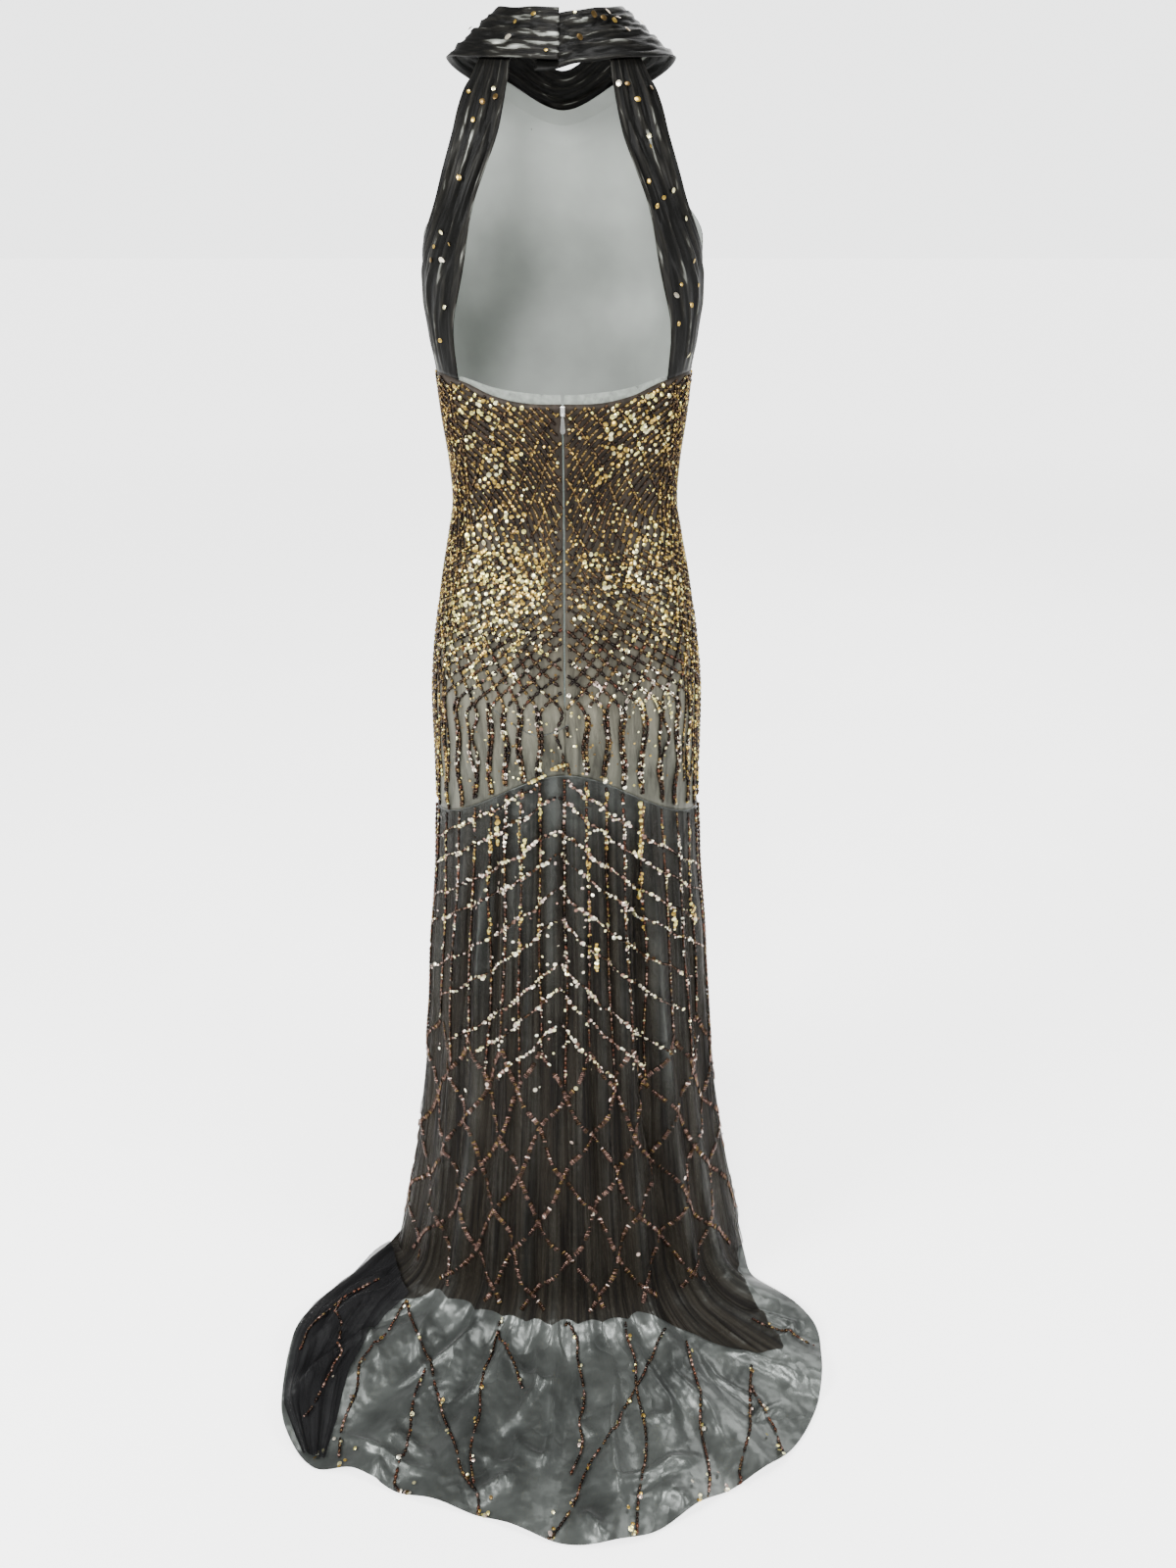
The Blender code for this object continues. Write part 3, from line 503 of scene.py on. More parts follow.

# %% [markdown]
# ### Creases placed one by one
# Cloth on a floor doesn't ripple evenly. It crushes into a few long ridges, many short ones and
# flat places between them. Each ridge here is a short path with its own half width and height.
# A ridge is sharpest near its middle and fades at both ends.

# %% Train creases
TRAIN_CREASES = (
    # half width, rise, then points of direction and reach
    (0.01, 0.007, ((31, 0.2), (33, 0.27), (36, 0.33), (39, 0.37))),
    (0.008, 0.006, ((47, 0.25), (43, 0.29), (37, 0.32), (29, 0.33))),
    (0.007, 0.009, ((41, 0.445), (33, 0.437), (26, 0.432), (19, 0.425))),
    (0.006, 0.006, ((34, 0.42), (29, 0.405), (24, 0.41), (21, 0.425))),
    (0.009, 0.007, ((13, 0.21), (9, 0.25), (8, 0.29), (11, 0.33), (15, 0.36))),
    (0.006, 0.006, ((20, 0.24), (13, 0.27), (7, 0.285), (2, 0.28))),
    (0.012, 0.009, ((3, 0.22), (4, 0.29), (3, 0.35), (5, 0.42))),
    (0.007, 0.007, ((-3, 0.24), (-1, 0.3), (-3, 0.34), (-6, 0.36))),
    (0.008, 0.008, ((-6, 0.42), (-12, 0.41), (-18, 0.405), (-24, 0.41))),
    (0.006, 0.005, ((-9, 0.44), (-14, 0.43), (-20, 0.43))),
    (0.011, 0.009, ((-14, 0.22), (-12, 0.28), (-9, 0.34), (-8, 0.4), (-9, 0.46))),
    (0.008, 0.007, ((-22, 0.22), (-21, 0.27), (-23, 0.33), (-20, 0.38))),
    (0.009, 0.008, ((-30, 0.25), (-27, 0.3), (-29, 0.36), (-27, 0.43))),
    (0.007, 0.007, ((-37, 0.28), (-35, 0.33), (-38, 0.38), (-36, 0.42))),
    (0.01, 0.009, ((-41, 0.3), (-45, 0.34), (-47, 0.39), (-46, 0.43))),
    (0.006, 0.006, ((-33, 0.4), (-38, 0.4), (-43, 0.41))),
    (0.009, 0.01, ((-54, 0.29), (-56, 0.33), (-57, 0.37))),
    (0.006, 0.007, ((-50, 0.35), (-54, 0.36), (-59, 0.355))),
    (0.01, 0.008, ((22, 0.2), (20, 0.25), (22, 0.31), (27, 0.36))),
    (0.007, 0.006, ((16, 0.38), (12, 0.395), (7, 0.39))),
    (0.013, 0.01, ((8, 0.4), (12, 0.42), (15, 0.445))),
    (0.011, 0.011, ((-2, 0.44), (-4, 0.46), (-5, 0.478))),
    (0.012, 0.009, ((-14, 0.43), (-17, 0.445), (-18, 0.46))),
    (0.01, 0.009, ((31, 0.44), (29, 0.455), (28, 0.467))),
    (0.012, 0.01, ((50, 0.3), (52, 0.36), (50, 0.42), (48, 0.47))),
    (0.01, 0.009, ((60, 0.28), (60, 0.33), (57, 0.38), (56, 0.42))),
    (0.008, 0.007, ((67, 0.27), (66, 0.31), (64, 0.35))),
    (0.006, 0.006, ((55, 0.33), (48, 0.345), (43, 0.35))),
    (0.007, 0.006, ((0, 0.37), (5, 0.385), (9, 0.37), (12, 0.345))),
    (0.006, 0.005, ((-16, 0.34), (-20, 0.35), (-25, 0.345))),
)


print("creases on the train:", len(TRAIN_CREASES))


# %% The satin's folds above the floor
def front_folds(directions, half_width):
    """Upright folds for the front, each with its own length, sway and depth."""
    folds = []
    for k, d in enumerate(directions):
        high, low = 0.72 - 0.03 * (k * 3 % 4), 0.08 + 0.05 * (k * 2 % 5)
        rise = (-0.004, -0.005, 0.003)[k % 3]
        folds.append((half_width, rise, ((d, high), (d + 1, (high + low) / 2), (d - 0.5, low))))
    return folds


SATIN_FOLDS = (
    # half width, rise, then points of direction and height: folds of the satin above the floor
    (0.007, 0.004, ((42, 0.7), (43, 0.6), (44, 0.5), (45, 0.38))),
    (0.006, -0.004, ((50, 0.68), (51, 0.55), (52, 0.44))),
    (0.006, -0.004, ((37, 0.72), (36, 0.62), (37, 0.5))),
    (0.009, 0.004, ((21, 0.785), (23, 0.7), (25, 0.6), (26, 0.52))),
    (0.005, -0.003, ((14, 0.77), (14, 0.68), (15, 0.58))),
    (0.006, -0.003, ((1, 0.76), (1, 0.66), (2, 0.52))),
    (0.007, -0.005, ((-22, 0.76), (-22, 0.66), (-23, 0.5), (-24, 0.36))),
    (0.009, -0.007, ((-37, 0.74), (-37, 0.62), (-36, 0.48), (-36, 0.34), (-41, 0.24), (-47, 0.12))),
    (0.01, 0.004, ((-44, 0.7), (-45, 0.56), (-46, 0.42), (-50, 0.28))),
    (0.006, -0.005, ((-64, 0.66), (-65, 0.5), (-66, 0.34))),
    (0.006, -0.005, ((59, 0.6), (60, 0.44), (60, 0.3), (58, 0.2))),
    (0.007, -0.004, ((32, 0.42), (33, 0.3), (35, 0.18))),
    (0.007, -0.004, ((9, 0.44), (9, 0.3), (10, 0.16))),
    (0.007, -0.004, ((-11, 0.46), (-12, 0.32), (-13, 0.15))),
    *front_folds((112, 130, 148, 166, 184, 202, 220, 240), 0.006),
)


print("folds above the floor:", len(SATIN_FOLDS))


# %% From creases to heights
def fall_at_reach(direction, reach):
    """The fall of a point of the train, given how far it lies from the body's axis."""
    k = int(round((direction + 90) / MAP_STEP))
    outer = map_height[k] < 0.02
    return float(np.interp(reach, map_radius[k][outer], map_fall[k][outer]))


def crease_relief(creases, on_floor):
    """The creases' heights over the whole map."""
    relief = np.zeros_like(map_radius)
    for half_width, rise, points in creases:
        path = [(d, fall_at_reach(d, v) if on_floor else v) for d, v in points]
        low, high = min(d for d, _ in path) - 9, max(d for d, _ in path) + 9
        near = np.flatnonzero((map_directions > low) & (map_directions < high))
        d, v, r = map_directions[near][:, None], map_fall[near], map_radius[near]
        best = np.full(v.shape, 9.0)
        place = np.zeros(v.shape)
        for k, ((d0, v0), (d1, v1)) in enumerate(zip(path, path[1:])):
            along, fall = np.radians(d1 - d0) * r, np.full(v.shape, v1 - v0)
            from_x, from_y = np.radians(d - d0) * r, v - v0
            t = np.clip((from_x * along + from_y * fall) / (along**2 + fall**2 + 1e-12), 0, 1)
            gap = np.hypot(from_x - along * t, from_y - fall * t)
            place = np.where(gap < best, (k + t) / (len(path) - 1), place)
            best = np.minimum(gap, best)
        fade = ease(place / 0.3) * ease((1 - place) / 0.3)
        relief[near] += 1.3 * rise * fade * np.exp(-1.9 * (best / half_width) ** 1.3)
    return relief


train_relief = crease_relief(TRAIN_CREASES, True)
satin_relief = crease_relief(SATIN_FOLDS, False)
print("highest crease, mm:", round(float(train_relief.max()) * 1000, 1))

# %% [markdown]
# ### Small crush and the net's own folds
# Between the placed creases the train's satin is crushed into facets a few centimetres wide. The
# distance to the nearest of many scattered points gives those: flat slopes that meet in sharp
# ridges, longer away from the body than across. The net above is thinner and springier. It gathers
# into long narrow folds that wander a little as they fall, and where it bunches it looks darker,
# because more layers lie one behind another. Each net fold is a path with its own width, and the
# same sum is kept as a darkness.

# %% Crush and net folds
crush = np.zeros_like(map_radius)
for i, j in np.argwhere((map_fall < 0.10) & (map_run >= 0.004)[:, None]):
    turned, reach = math.radians(map_directions[i]) * 0.40, map_radius[i, j]
    bend = 0.5 * noise.noise((turned * 14, reach * 14, 3.1))
    facet = noise.voronoi((turned * 13 + bend, reach * 7 - bend, 0.4))[0][0]
    small_facet = noise.voronoi((turned * 47 - bend, reach * 26 + bend, 7.7))[0][0]
    crush[i, j] = 0.0060 * facet + 0.0006 * small_facet
crush *= ease((0.10 - map_fall) / 0.08)

NET_FOLDS = (
    # half width, rise, then points of direction and height
    (0.005, -0.006, ((-38, 0.77), (-37.5, 0.65), (-36.5, 0.52), (-35.5, 0.4),
                     (-38, 0.33), (-41, 0.246), (-45, 0.175), (-48.5, 0.088), (-50, 0.01))),
    (0.0035, 0.004, ((-33, 0.76), (-33, 0.6), (-32, 0.44), (-34, 0.32), (-38, 0.2), (-43, 0.06))),
    (0.003, 0.003, ((40.3, 0.7), (41, 0.62), (42.8, 0.565), (44, 0.48))),
    (0.004, -0.005, ((50.6, 0.7), (51, 0.6), (53, 0.5), (55, 0.42))),
    (0.0042, -0.005, ((62, 0.4), (60.6, 0.308), (57.5, 0.211), (57, 0.12))),
    (0.0035, -0.004, ((37.5, 0.72), (37, 0.62), (38, 0.52), (38, 0.42))),
    (0.0028, -0.003, ((25.4, 0.76), (25, 0.68), (26, 0.58), (27, 0.48), (28, 0.36))),
    (0.0028, -0.003, ((14.7, 0.78), (14.5, 0.68), (15, 0.58), (15, 0.44))),
    (0.0028, -0.003, ((1.1, 0.77), (1, 0.66), (1.5, 0.54), (2, 0.4), (3, 0.28))),
    (0.003, -0.003, ((-4.2, 0.77), (-4.5, 0.66), (-5, 0.52))),
    (0.0036, -0.004, ((-21.7, 0.76), (-22, 0.64), (-22.5, 0.52), (-24, 0.36), (-27, 0.22))),
    (0.003, 0.003, ((-17, 0.6), (-17.5, 0.48), (-18, 0.34), (-21, 0.22), (-24, 0.12))),
    (0.0026, 0.003, ((9, 0.46), (9.5, 0.36), (9, 0.26), (11, 0.15), (12, 0.07))),
    (0.003, 0.003, ((20, 0.4), (21, 0.3), (22, 0.2), (25, 0.1), (26, 0.03))),
    (0.003, 0.003, ((31, 0.42), (32, 0.32), (35, 0.22), (38, 0.12), (44, 0.03))),
    (0.0034, 0.004, ((44, 0.38), (46, 0.3), (49, 0.2), (52, 0.11), (56, 0.03))),
    (0.0034, 0.004, ((54, 0.3), (57, 0.22), (61, 0.13), (66, 0.05))),
    (0.0026, -0.003, ((-11, 0.44), (-12, 0.34), (-13, 0.24), (-15, 0.13), (-18, 0.05))),
    (0.003, -0.003, ((-28, 0.42), (-29, 0.33), (-32, 0.22), (-36, 0.11), (-40, 0.02))),
    (0.0036, -0.005, ((-47, 0.44), (-50, 0.34), (-54, 0.24), (-58, 0.14), (-60, 0.06))),
    (0.0032, -0.004, ((-57, 0.62), (-58, 0.5), (-60, 0.38), (-64, 0.26), (-68, 0.14))),
    (0.0032, -0.004, ((-67, 0.6), (-68, 0.46), (-70, 0.32), (-74, 0.18), (-76, 0.06))),
    (0.003, -0.004, ((-78, 0.56), (-79, 0.38), (-81, 0.2), (-82, 0.06))),
    (0.003, -0.004, ((67, 0.62), (68, 0.48), (70, 0.34), (73, 0.2), (76, 0.08))),
    (0.003, -0.004, ((78, 0.56), (79, 0.4), (80, 0.24), (81, 0.08))),
    (0.0024, 0.002, ((-8, 0.3), (-7, 0.22), (-9, 0.13), (-8, 0.05))),
    (0.0024, 0.002, ((5, 0.24), (4, 0.16), (6, 0.08), (4, 0.03))),
    (0.0024, 0.002, ((16, 0.26), (18, 0.18), (17, 0.1), (20, 0.04))),
    *front_folds((100, 117, 126, 143, 153, 171, 181, 197, 215, 225, 236, 254), 0.0031),
)
net_relief = crease_relief(NET_FOLDS, False)
net_folded = np.clip(net_relief / -0.004, -1, 1)
ripple = np.sin(np.radians(map_directions)[:, None] * 47 + 3 * np.sin(map_fall * 9))
ripple *= np.sin(np.radians(map_directions)[:, None] * 31 - 5 * np.sin(map_fall * 6 + 1))
net_relief += 0.0007 * ripple * ease(fall_length / 0.2) * (1 - map_lying)
satin_ridge = np.clip(satin_relief / 0.004, -1, 1)
print("net folds:", len(NET_FOLDS))

# %% Finished satin and net surfaces, and a way to look them up
SATIN_OUT = -0.0005  # the satin lies just inside the middle of the solid's wall
NET_OUT = 0.0011
near_top = ease(fall_length / 0.05)
satin_out = SATIN_OUT + flute_depth + near_top * mix(satin_relief, train_relief + crush, map_lying)
satin_out = np.where(map_lying > 0.5, np.maximum(satin_out, SATIN_OUT), satin_out)
held = ease(fall_length / 0.04) * (1 - 0.6 * map_lying)
net_out = satin_out + (NET_OUT - SATIN_OUT) + np.maximum(net_relief * held, -0.0012)
net_out += 0.0016 * held * (1 - map_lying)


def surface_points(out):
    """The map's points, moved out of the bare surface."""
    return spot_at(map_radius + out_radius * out, map_height + out_height * out, map_directions[:, None])


def surface_normals(points):
    outward = unit(np.cross(np.gradient(points, axis=1), np.gradient(points, axis=0)))
    facing = np.sign((outward * surface_points(0.004) - outward * surface_points(0.0)).sum(-1))
    return outward * np.where(facing == 0, 1, facing)[..., None]


skirt_layers = {}
for layer, out in (("satin", satin_out), ("net", net_out)):
    points = surface_points(out)
    skirt_layers[layer] = (points, surface_normals(points))


def look_up(values, direction, fall):
    """Values of the map at any directions and falls, mixed from its four nearest points."""
    at = np.clip((np.asarray(direction) + 90) / MAP_STEP, 0, len(map_directions) - 1.001)
    i = at.astype(int)
    top = mix(seam_line[i], seam_line[i + 1], at - i)
    bottom = mix(hem_line[i], hem_line[i + 1], at - i)
    row = np.clip((top - fall) / (top - bottom), 0, 1) * (MAP_ROWS - 1)
    j = np.minimum(row.astype(int), MAP_ROWS - 2)
    s, t = at - i, row - j
    if values.ndim == 3:
        s, t = s[:, None], t[:, None]
    return mix(mix(values[i, j], values[i, j + 1], t), mix(values[i + 1, j], values[i + 1, j + 1], t), s)


def on_skirt(direction, fall, out=0.0, layer="net"):
    points, normals = skirt_layers[layer]
    lift = np.broadcast_to(out, np.shape(direction))[:, None]
    return look_up(points, direction, fall) + look_up(normals, direction, fall) * lift


def skirt_outward(direction, fall):
    return look_up(skirt_layers["net"][1], direction, fall)


probe = on_skirt(np.array([0.0, 180.0]), np.array([0.4, 0.4]))
print("skirt at knee height, back and front y, mm:", np.round(probe[:, 1] * 1000))

# %% [markdown]
# ## Satin
# The gown's cloth is duchess satin: a heavy woven polyester with long floats on its face. The
# floats lie side by side like combed hair, so the face shines softly but never like glass. In the
# shader that is a middling roughness with some metallic share, cloudy changes of tone where the
# nap of the floats turns, a fine weave bump, and a wider bump of small crush marks.


# %% Satin material
def make_satin(name, deep, pale, crush_strength, metal, dull):
    """Duchess satin of two tones. The weave is drawn at 1.2 mm, coarser than real, to show."""
    satin = Recipe(name)
    place = satin.place()
    clouds = satin.grain(place, 14.0, 3.0)
    floats = satin.grain(satin.stretched(place, 1.0, 1.0, 0.25), 830.0, 1.0)
    weave = satin.relief(floats, 0.08, 0.0004)
    down = satin.stretched(satin.cloth(), 1.0, 0.4, 1.0)
    pulls = satin.grain(down, 14.0, 6.0, 0.5, 0.4, noise_type="RIDGED_MULTIFRACTAL")
    crushed = satin.relief(pulls, crush_strength, 0.004, weave)
    warped = satin.add("VectorMath", {0: down, 1: satin.scaled(clouds.node.outputs["Color"], 0.10)})
    facets = satin.add("TexVoronoi", {"Vector": warped, "Scale": 5.0}, distance="CHEBYCHEV")
    return satin.finish({
        "Base Color": satin.ramp(clouds, (0.32, deep), (0.68, pale)),
        "Roughness": satin.span(clouds, 0.0, 1.0, dull, dull * 0.68),
        "Normal": satin.relief(facets, crush_strength, 0.045, crushed),
        "Metallic": metal, "Sheen Weight": 0.1, "Sheen Roughness": 0.4,
    })


silver_satin = make_satin("silver-grey duchess satin", "#343735", "#575b58", 0.6, 0.55, 0.42)
lining_satin = make_satin("grey lining satin", "#8a8f8a", "#9a9f9a", 0.08, 0.1, 0.75)
print("satin materials ready")

# %% Skirt satin panels
HEM_WIDTH_BACK = 1.10  # metres, along the hem as cut
skirt_length = float(fall_length[:, -1].max())
BACK, FRONT = (-90.0, 90.0), (90.0, 270.0)  # the directions that each side of the skirt covers


def skirt_path(side, across, up):
    """Directions and falls on one side of the skirt, from its hem up to the seam."""
    direction = mix(*side, across)
    top = np.interp(direction, map_directions, seam_line)
    return direction, mix(np.interp(direction, map_directions, hem_line), top, up)


def skirt_rule(side, layer):
    return lambda across, up: on_skirt(*skirt_path(side, across, up), layer=layer)


satin_back = lay_cloth(
    "satin_skirt_back", 300, 210, skirt_rule(BACK, "satin"), (HEM_WIDTH_BACK, skirt_length)
)
satin_front = lay_cloth("satin_skirt_front", 120, 90, skirt_rule(FRONT, "satin"), (0.70, 0.80))
finish_piece(satin_back, "skirt_satin", ["skirt_back"], silver_satin)
finish_piece(satin_front, "skirt_satin", ["skirt_front"], silver_satin)

# %% [markdown]
# ## Net
# Over the satin hangs fine nylon net, dyed brown-black. Its mesh is about a millimetre, too fine to
# be drawn hole by hole at this distance, so the net is a single sheet that lets part of the
# light through, and lets less through where its folds bunch. That share is stored on the points as
# an attribute, which the shader turns into its alpha.


# %% Net material
def make_net(name, deep, pale):
    """Brown-black nylon net. The cover stored on its points says how much light it stops, and
    narrow folds run the long way of the cloth, by its UV map."""
    net = Recipe(name)
    streaks = net.grain(net.stretched(net.cloth(), 1.0, 0.05, 1.0), 75.0, 5.0, distortion=0.4)
    stored = net.add("Attribute", {}, "Fac", attribute_name="cover")
    holes = net.add("TexVoronoi", {"Vector": net.place(), "Scale": 600.0})
    return net.finish({
        "Base Color": net.ramp(streaks, (0.34, pale), (0.62, deep)),
        "Alpha": net.times(stored, net.span(streaks, 0.3, 0.7, 0.72, 1.22), use_clamp=True),
        "Normal": net.relief(streaks, 0.8, 0.009, net.relief(holes, 0.1, 0.0006)),
        "Roughness": 0.65, "Specular IOR Level": 0.1,
    })


dark_net = make_net("brown-black nylon net", "#0e0c0a", "#2b2720")
doubled_net = make_net("brown-black nylon net, doubled", "#0b0b0c", "#1d1d1e")
print("net materials ready")

# %% The net over the skirt
NET_EDGE = (
    # direction, how far out over the floor the net's own hem lies
    (-90, 0.236), (-74, 0.25), (-66, 0.262), (-60, 0.285), (-55, 0.33), (-50, 0.368), (-46.5, 0.352),
    (-44, 0.328), (-41.6, 0.296), (-39.3, 0.268), (-35.5, 0.246), (-31, 0.218), (-26, 0.208),
    (-18.4, 0.205), (-12, 0.196), (-6.4, 0.2), (-1, 0.193), (3.8, 0.198), (9, 0.203), (14.1, 0.194),
    (20, 0.189), (25.9, 0.196), (30, 0.192), (33.5, 0.199), (42.3, 0.205), (47, 0.214), (51.7, 0.236),
    (55.9, 0.276), (59, 0.345), (61, 0.415), (90, 0.24),
)


def train_fall(direction, reach):
    """The fall of a point of the net on the train, which never reaches past the satin."""
    return fall_at_reach(direction, min(reach, float(smooth(TRAIN, direction, 1))))


edge_directions = [d for d, _ in NET_EDGE]
edge_falls = [train_fall(d, reach) for d, reach in NET_EDGE]


def net_back_path(across, up):
    """Directions and falls of the back net's points, up from its own scalloped hem."""
    direction = mix(*BACK, across)
    top = np.interp(direction, map_directions, seam_line)
    scallop = 0.007 * np.abs(np.sin(np.radians(direction) * 19 + 1))
    bottom = np.interp(direction, edge_directions, edge_falls) + scallop
    return direction, mix(np.maximum(bottom, np.interp(direction, map_directions, hem_line)), top, up)


def net_cover(direction, fall):
    """How much light the net stops: more below the knee, in its folds and at its own hem."""
    folded = look_up(net_folded, direction, fall)
    satin_shows = look_up(satin_ridge, direction, fall)
    crest = look_up(flute_depth, direction, fall) / 0.010
    base = np.interp(
        fall, (-0.1, 0.06, 0.30, 0.45, 0.60, 0.72, 0.785), (0.88, 0.95, 0.95, 0.91, 0.76, 0.56, 0.30)
    )
    turn = np.radians(direction)
    band = np.sin(turn * 23 + 2 * np.sin(fall * 7)) + np.sin(turn * 37 - 3 * np.sin(fall * 5 + 1))
    shows = 0.18 * crest + 0.08 * band + 0.30 * satin_shows * ease((fall - 0.1) / 0.3)
    return np.clip(base + 0.22 * folded - shows, 0.15, 0.99)


net_back = lay_cloth(
    "net_skirt_back", 300, 150, lambda across, up: on_skirt(*net_back_path(across, up)), (1.6, 0.9)
)
mark(net_back, "cover", net_cover(*net_back_path(*laid[net_back.name])))
net_front = lay_cloth("net_skirt_front", 150, 90, skirt_rule(FRONT, "net"), (1.2, 0.8))
mark(net_front, "cover", net_cover(*skirt_path(FRONT, *laid[net_front.name])))
finish_piece(net_back, "beaded_net", [], dark_net)
finish_piece(net_front, "beaded_net", [], dark_net)

# %% [markdown]
# At the left the net is swept over itself and lies double on the train, right out to the hem. It
# is made as its own flap, with a few soft folds along it.

# %% The doubled flap of net
FLAP_INNER = ((56.5, 0.262), (54.5, 0.308), (50.7, 0.345), (45.7, 0.393), (41.0, 0.436), (37.5, 0.478))
FLAP_OUTER = ((78.0, 0.268), (70.5, 0.323), (65.0, 0.384), (57.0, 0.434), (48.0, 0.474), (40.5, 0.490))


def flap_rule(across, up):
    steps = np.linspace(0, 1, len(FLAP_INNER))
    sides = []
    for side in (FLAP_INNER, FLAP_OUTER):
        angle = np.radians(np.interp(up, steps, [d for d, _ in side]))
        reach = np.interp(up, steps, [r for _, r in side])
        sides.append(np.stack([reach * np.sin(angle), reach * np.cos(angle)], -1))
    flat = mix(sides[0], sides[1], across[:, None])
    direction = np.degrees(np.arctan2(flat[:, 0], flat[:, 1]))
    reach = np.hypot(flat[:, 0], flat[:, 1])
    fall = np.array([train_fall(*at) for at in zip(direction, reach)])
    fold = np.sin(across * 15 + 2.2 * up) + 0.6 * np.sin(across * 27 - 3 * up + 1)
    return on_skirt(direction, fall, 0.0020 + 0.0016 * (fold + 1.6) * ease(across / 0.1))


net_flap = lay_cloth("net_flap", 60, 90, flap_rule, (0.13, 0.28), facing=(0, 0, 1))
mark(net_flap, "cover", np.full(len(net_flap.data.vertices), 0.93))
finish_piece(net_flap, "beaded_net", [], doubled_net)

# %% [markdown]
# ## The bodice
# The back has two panels with the zip between them, and the front is a single panel that runs up
# under the neckband. Each is one shell of satin laid on the figure. The net over it clings to the
# satin, so here the satin's material is darker, with a painted sheen band and painted shade and
# highlight on its wrinkles, and the bead strings stand on it.

# %% Satin under clinging net
# The net lies close on the bodice. It is dense and brown down to the waist and thin at the hips,
# so the tone darkens upwards; its lighter band about 0.9 m up is a painted sheen.
clinging = Recipe("satin under clinging brown-black net")
place = clinging.place()
height_below = clinging.add("SeparateXYZ", {0: place}, "Z")
wavering = clinging.times(clinging.grain(place, 30.0, 3.0), 0.06, height_below)
tone = clinging.ramp(
    clinging.span(wavering, -0.66, -0.38),
    (0.0, "#4d4d44"), (1.0, "#2a241e"), (0.28, "#5a584d"), (0.55, "#3b372e"),
)
wrinkles = clinging.grain(clinging.stretched(place, 1.0, 1.0, 0.15), 70.0, 6.0, 0.65, 0.8)
# Painted shade and painted highlight: the colour is darker in the wrinkles' hollows and paler on their
# crests.
bodice_cloth = clinging.finish({
    "Base Color": clinging.scaled(tone, clinging.span(wrinkles, 0.35, 0.65, 0.42, 1.5)),
    "Normal": clinging.relief(wrinkles, 0.5, 0.001),
    "Metallic": 0.3, "Roughness": 0.5, "Specular IOR Level": 0.2,
})
print("bodice cloth ready")

# %% Bodice edges
SEAM_GAP = 0.0003
BACK_END, FRONT_START = 89.93, 90.07  # degrees: either side of a side seam
PANEL_IN = -0.0004  # the panels' middle lies this far inside the figure's surface
BACK_TOP = (
    # direction, height of the back panels' top edge, height of the sheer edging above it
    (-25, 1.1815, 1.1915), (0, 1.1805, 1.189), (25, 1.1815, 1.1915), (42, 1.188, 1.196),
    (55, 1.1985, 1.203), (70, 1.2045, 1.206), (90, 1.2065, 1.2075),
)
ARMHOLE = (
    # height, direction of the front panel's edge
    (1.206, 90), (1.284, 90), (1.305, 98), (1.325, 110), (1.35, 121.5), (1.378, 130), (1.408, 135.5),
    (1.44, 138.5),
)
ZIP_BOTTOM = 0.874
SLIT_HALF = 0.0010
SIDES = (("left", 1), ("right", -1))


def back_top(direction, column=1):
    return smooth(BACK_TOP, np.abs(direction), column)


def back_rule(side, across, up):
    direction = 90 * across
    height = mix(seam_height(direction) + SEAM_GAP / 2, back_top(direction), up)
    opened = ease((height - ZIP_BOTTOM + 0.004) / 0.012)
    slit = np.degrees(mix(SEAM_GAP / 2, SLIT_HALF, opened) / figure_radius(height, 0.0))
    return figure_spot(height, side * np.clip(direction, slit, BACK_END), PANEL_IN)


for name, side in SIDES:
    panel = lay_cloth("satin_bodice_" + name, 45, 66, lambda *at: back_rule(side, *at), (0.20, 0.45))
    give_wall(panel, 0.0008, lined=True)
    finish_piece(panel, "beaded_net", ["bodice_back_" + name], bodice_cloth, lining_satin)

# %% Neckband rings, needed by the front panel's top
RINGS = (
    # direction, height of the lower ring, height of the upper ring
    (-50, 1.474, 1.514), (0, 1.469, 1.511), (50, 1.474, 1.514), (90, 1.478, 1.517), (135, 1.458, 1.499),
    (180, 1.432, 1.474), (225, 1.458, 1.499),
)
LOW_RING = (0.107, 0.076, 0.090, 2.05)  # half width, back, front, squareness
HIGH_RING = (0.058, 0.047, 0.058, 2.00)
TUCK = 0.0042  # how far inside the neckband's middle the pieces under it run
FRONT_SHARE = 0.9  # how much of the front panel's length hangs free below the neckband
STRAP_SHARE = 0.86  # and of a strap's
FRONT_TUCKS_AT = 1.436  # heights at which they pass under it, at their outer edge
STRAP_TUCKS_AT = 1.458


def collar_spot(direction, rise, out=0.0):
    """Points on the neckband: rise is 0 at its lower edge and 1 at its upper one."""
    turned = np.abs((direction + 180) % 360 - 180)
    low_height, high_height = smooth(RINGS, turned, 1), smooth(RINGS, turned, 2)
    low = rounded_radius(direction, *LOW_RING)
    high = rounded_radius(direction, *HIGH_RING)
    length = np.hypot(high - low, high_height - low_height)
    radius = mix(low, high, rise) + (high_height - low_height) / length * out
    height = mix(low_height, high_height, rise) - (high - low) / length * out
    return spot_at(radius, height, direction)


def tuck_under(hanging, direction, up, share, rise):
    """Ends a piece that hangs on the figure inside the neckband, at the last of its length."""
    tucked = collar_spot(direction, mix(-0.02, rise, np.maximum(up - share, 0) / (1 - share)), -TUCK)
    return np.where((np.minimum(up / share, 1.0) < 1)[:, None], hanging, tucked)


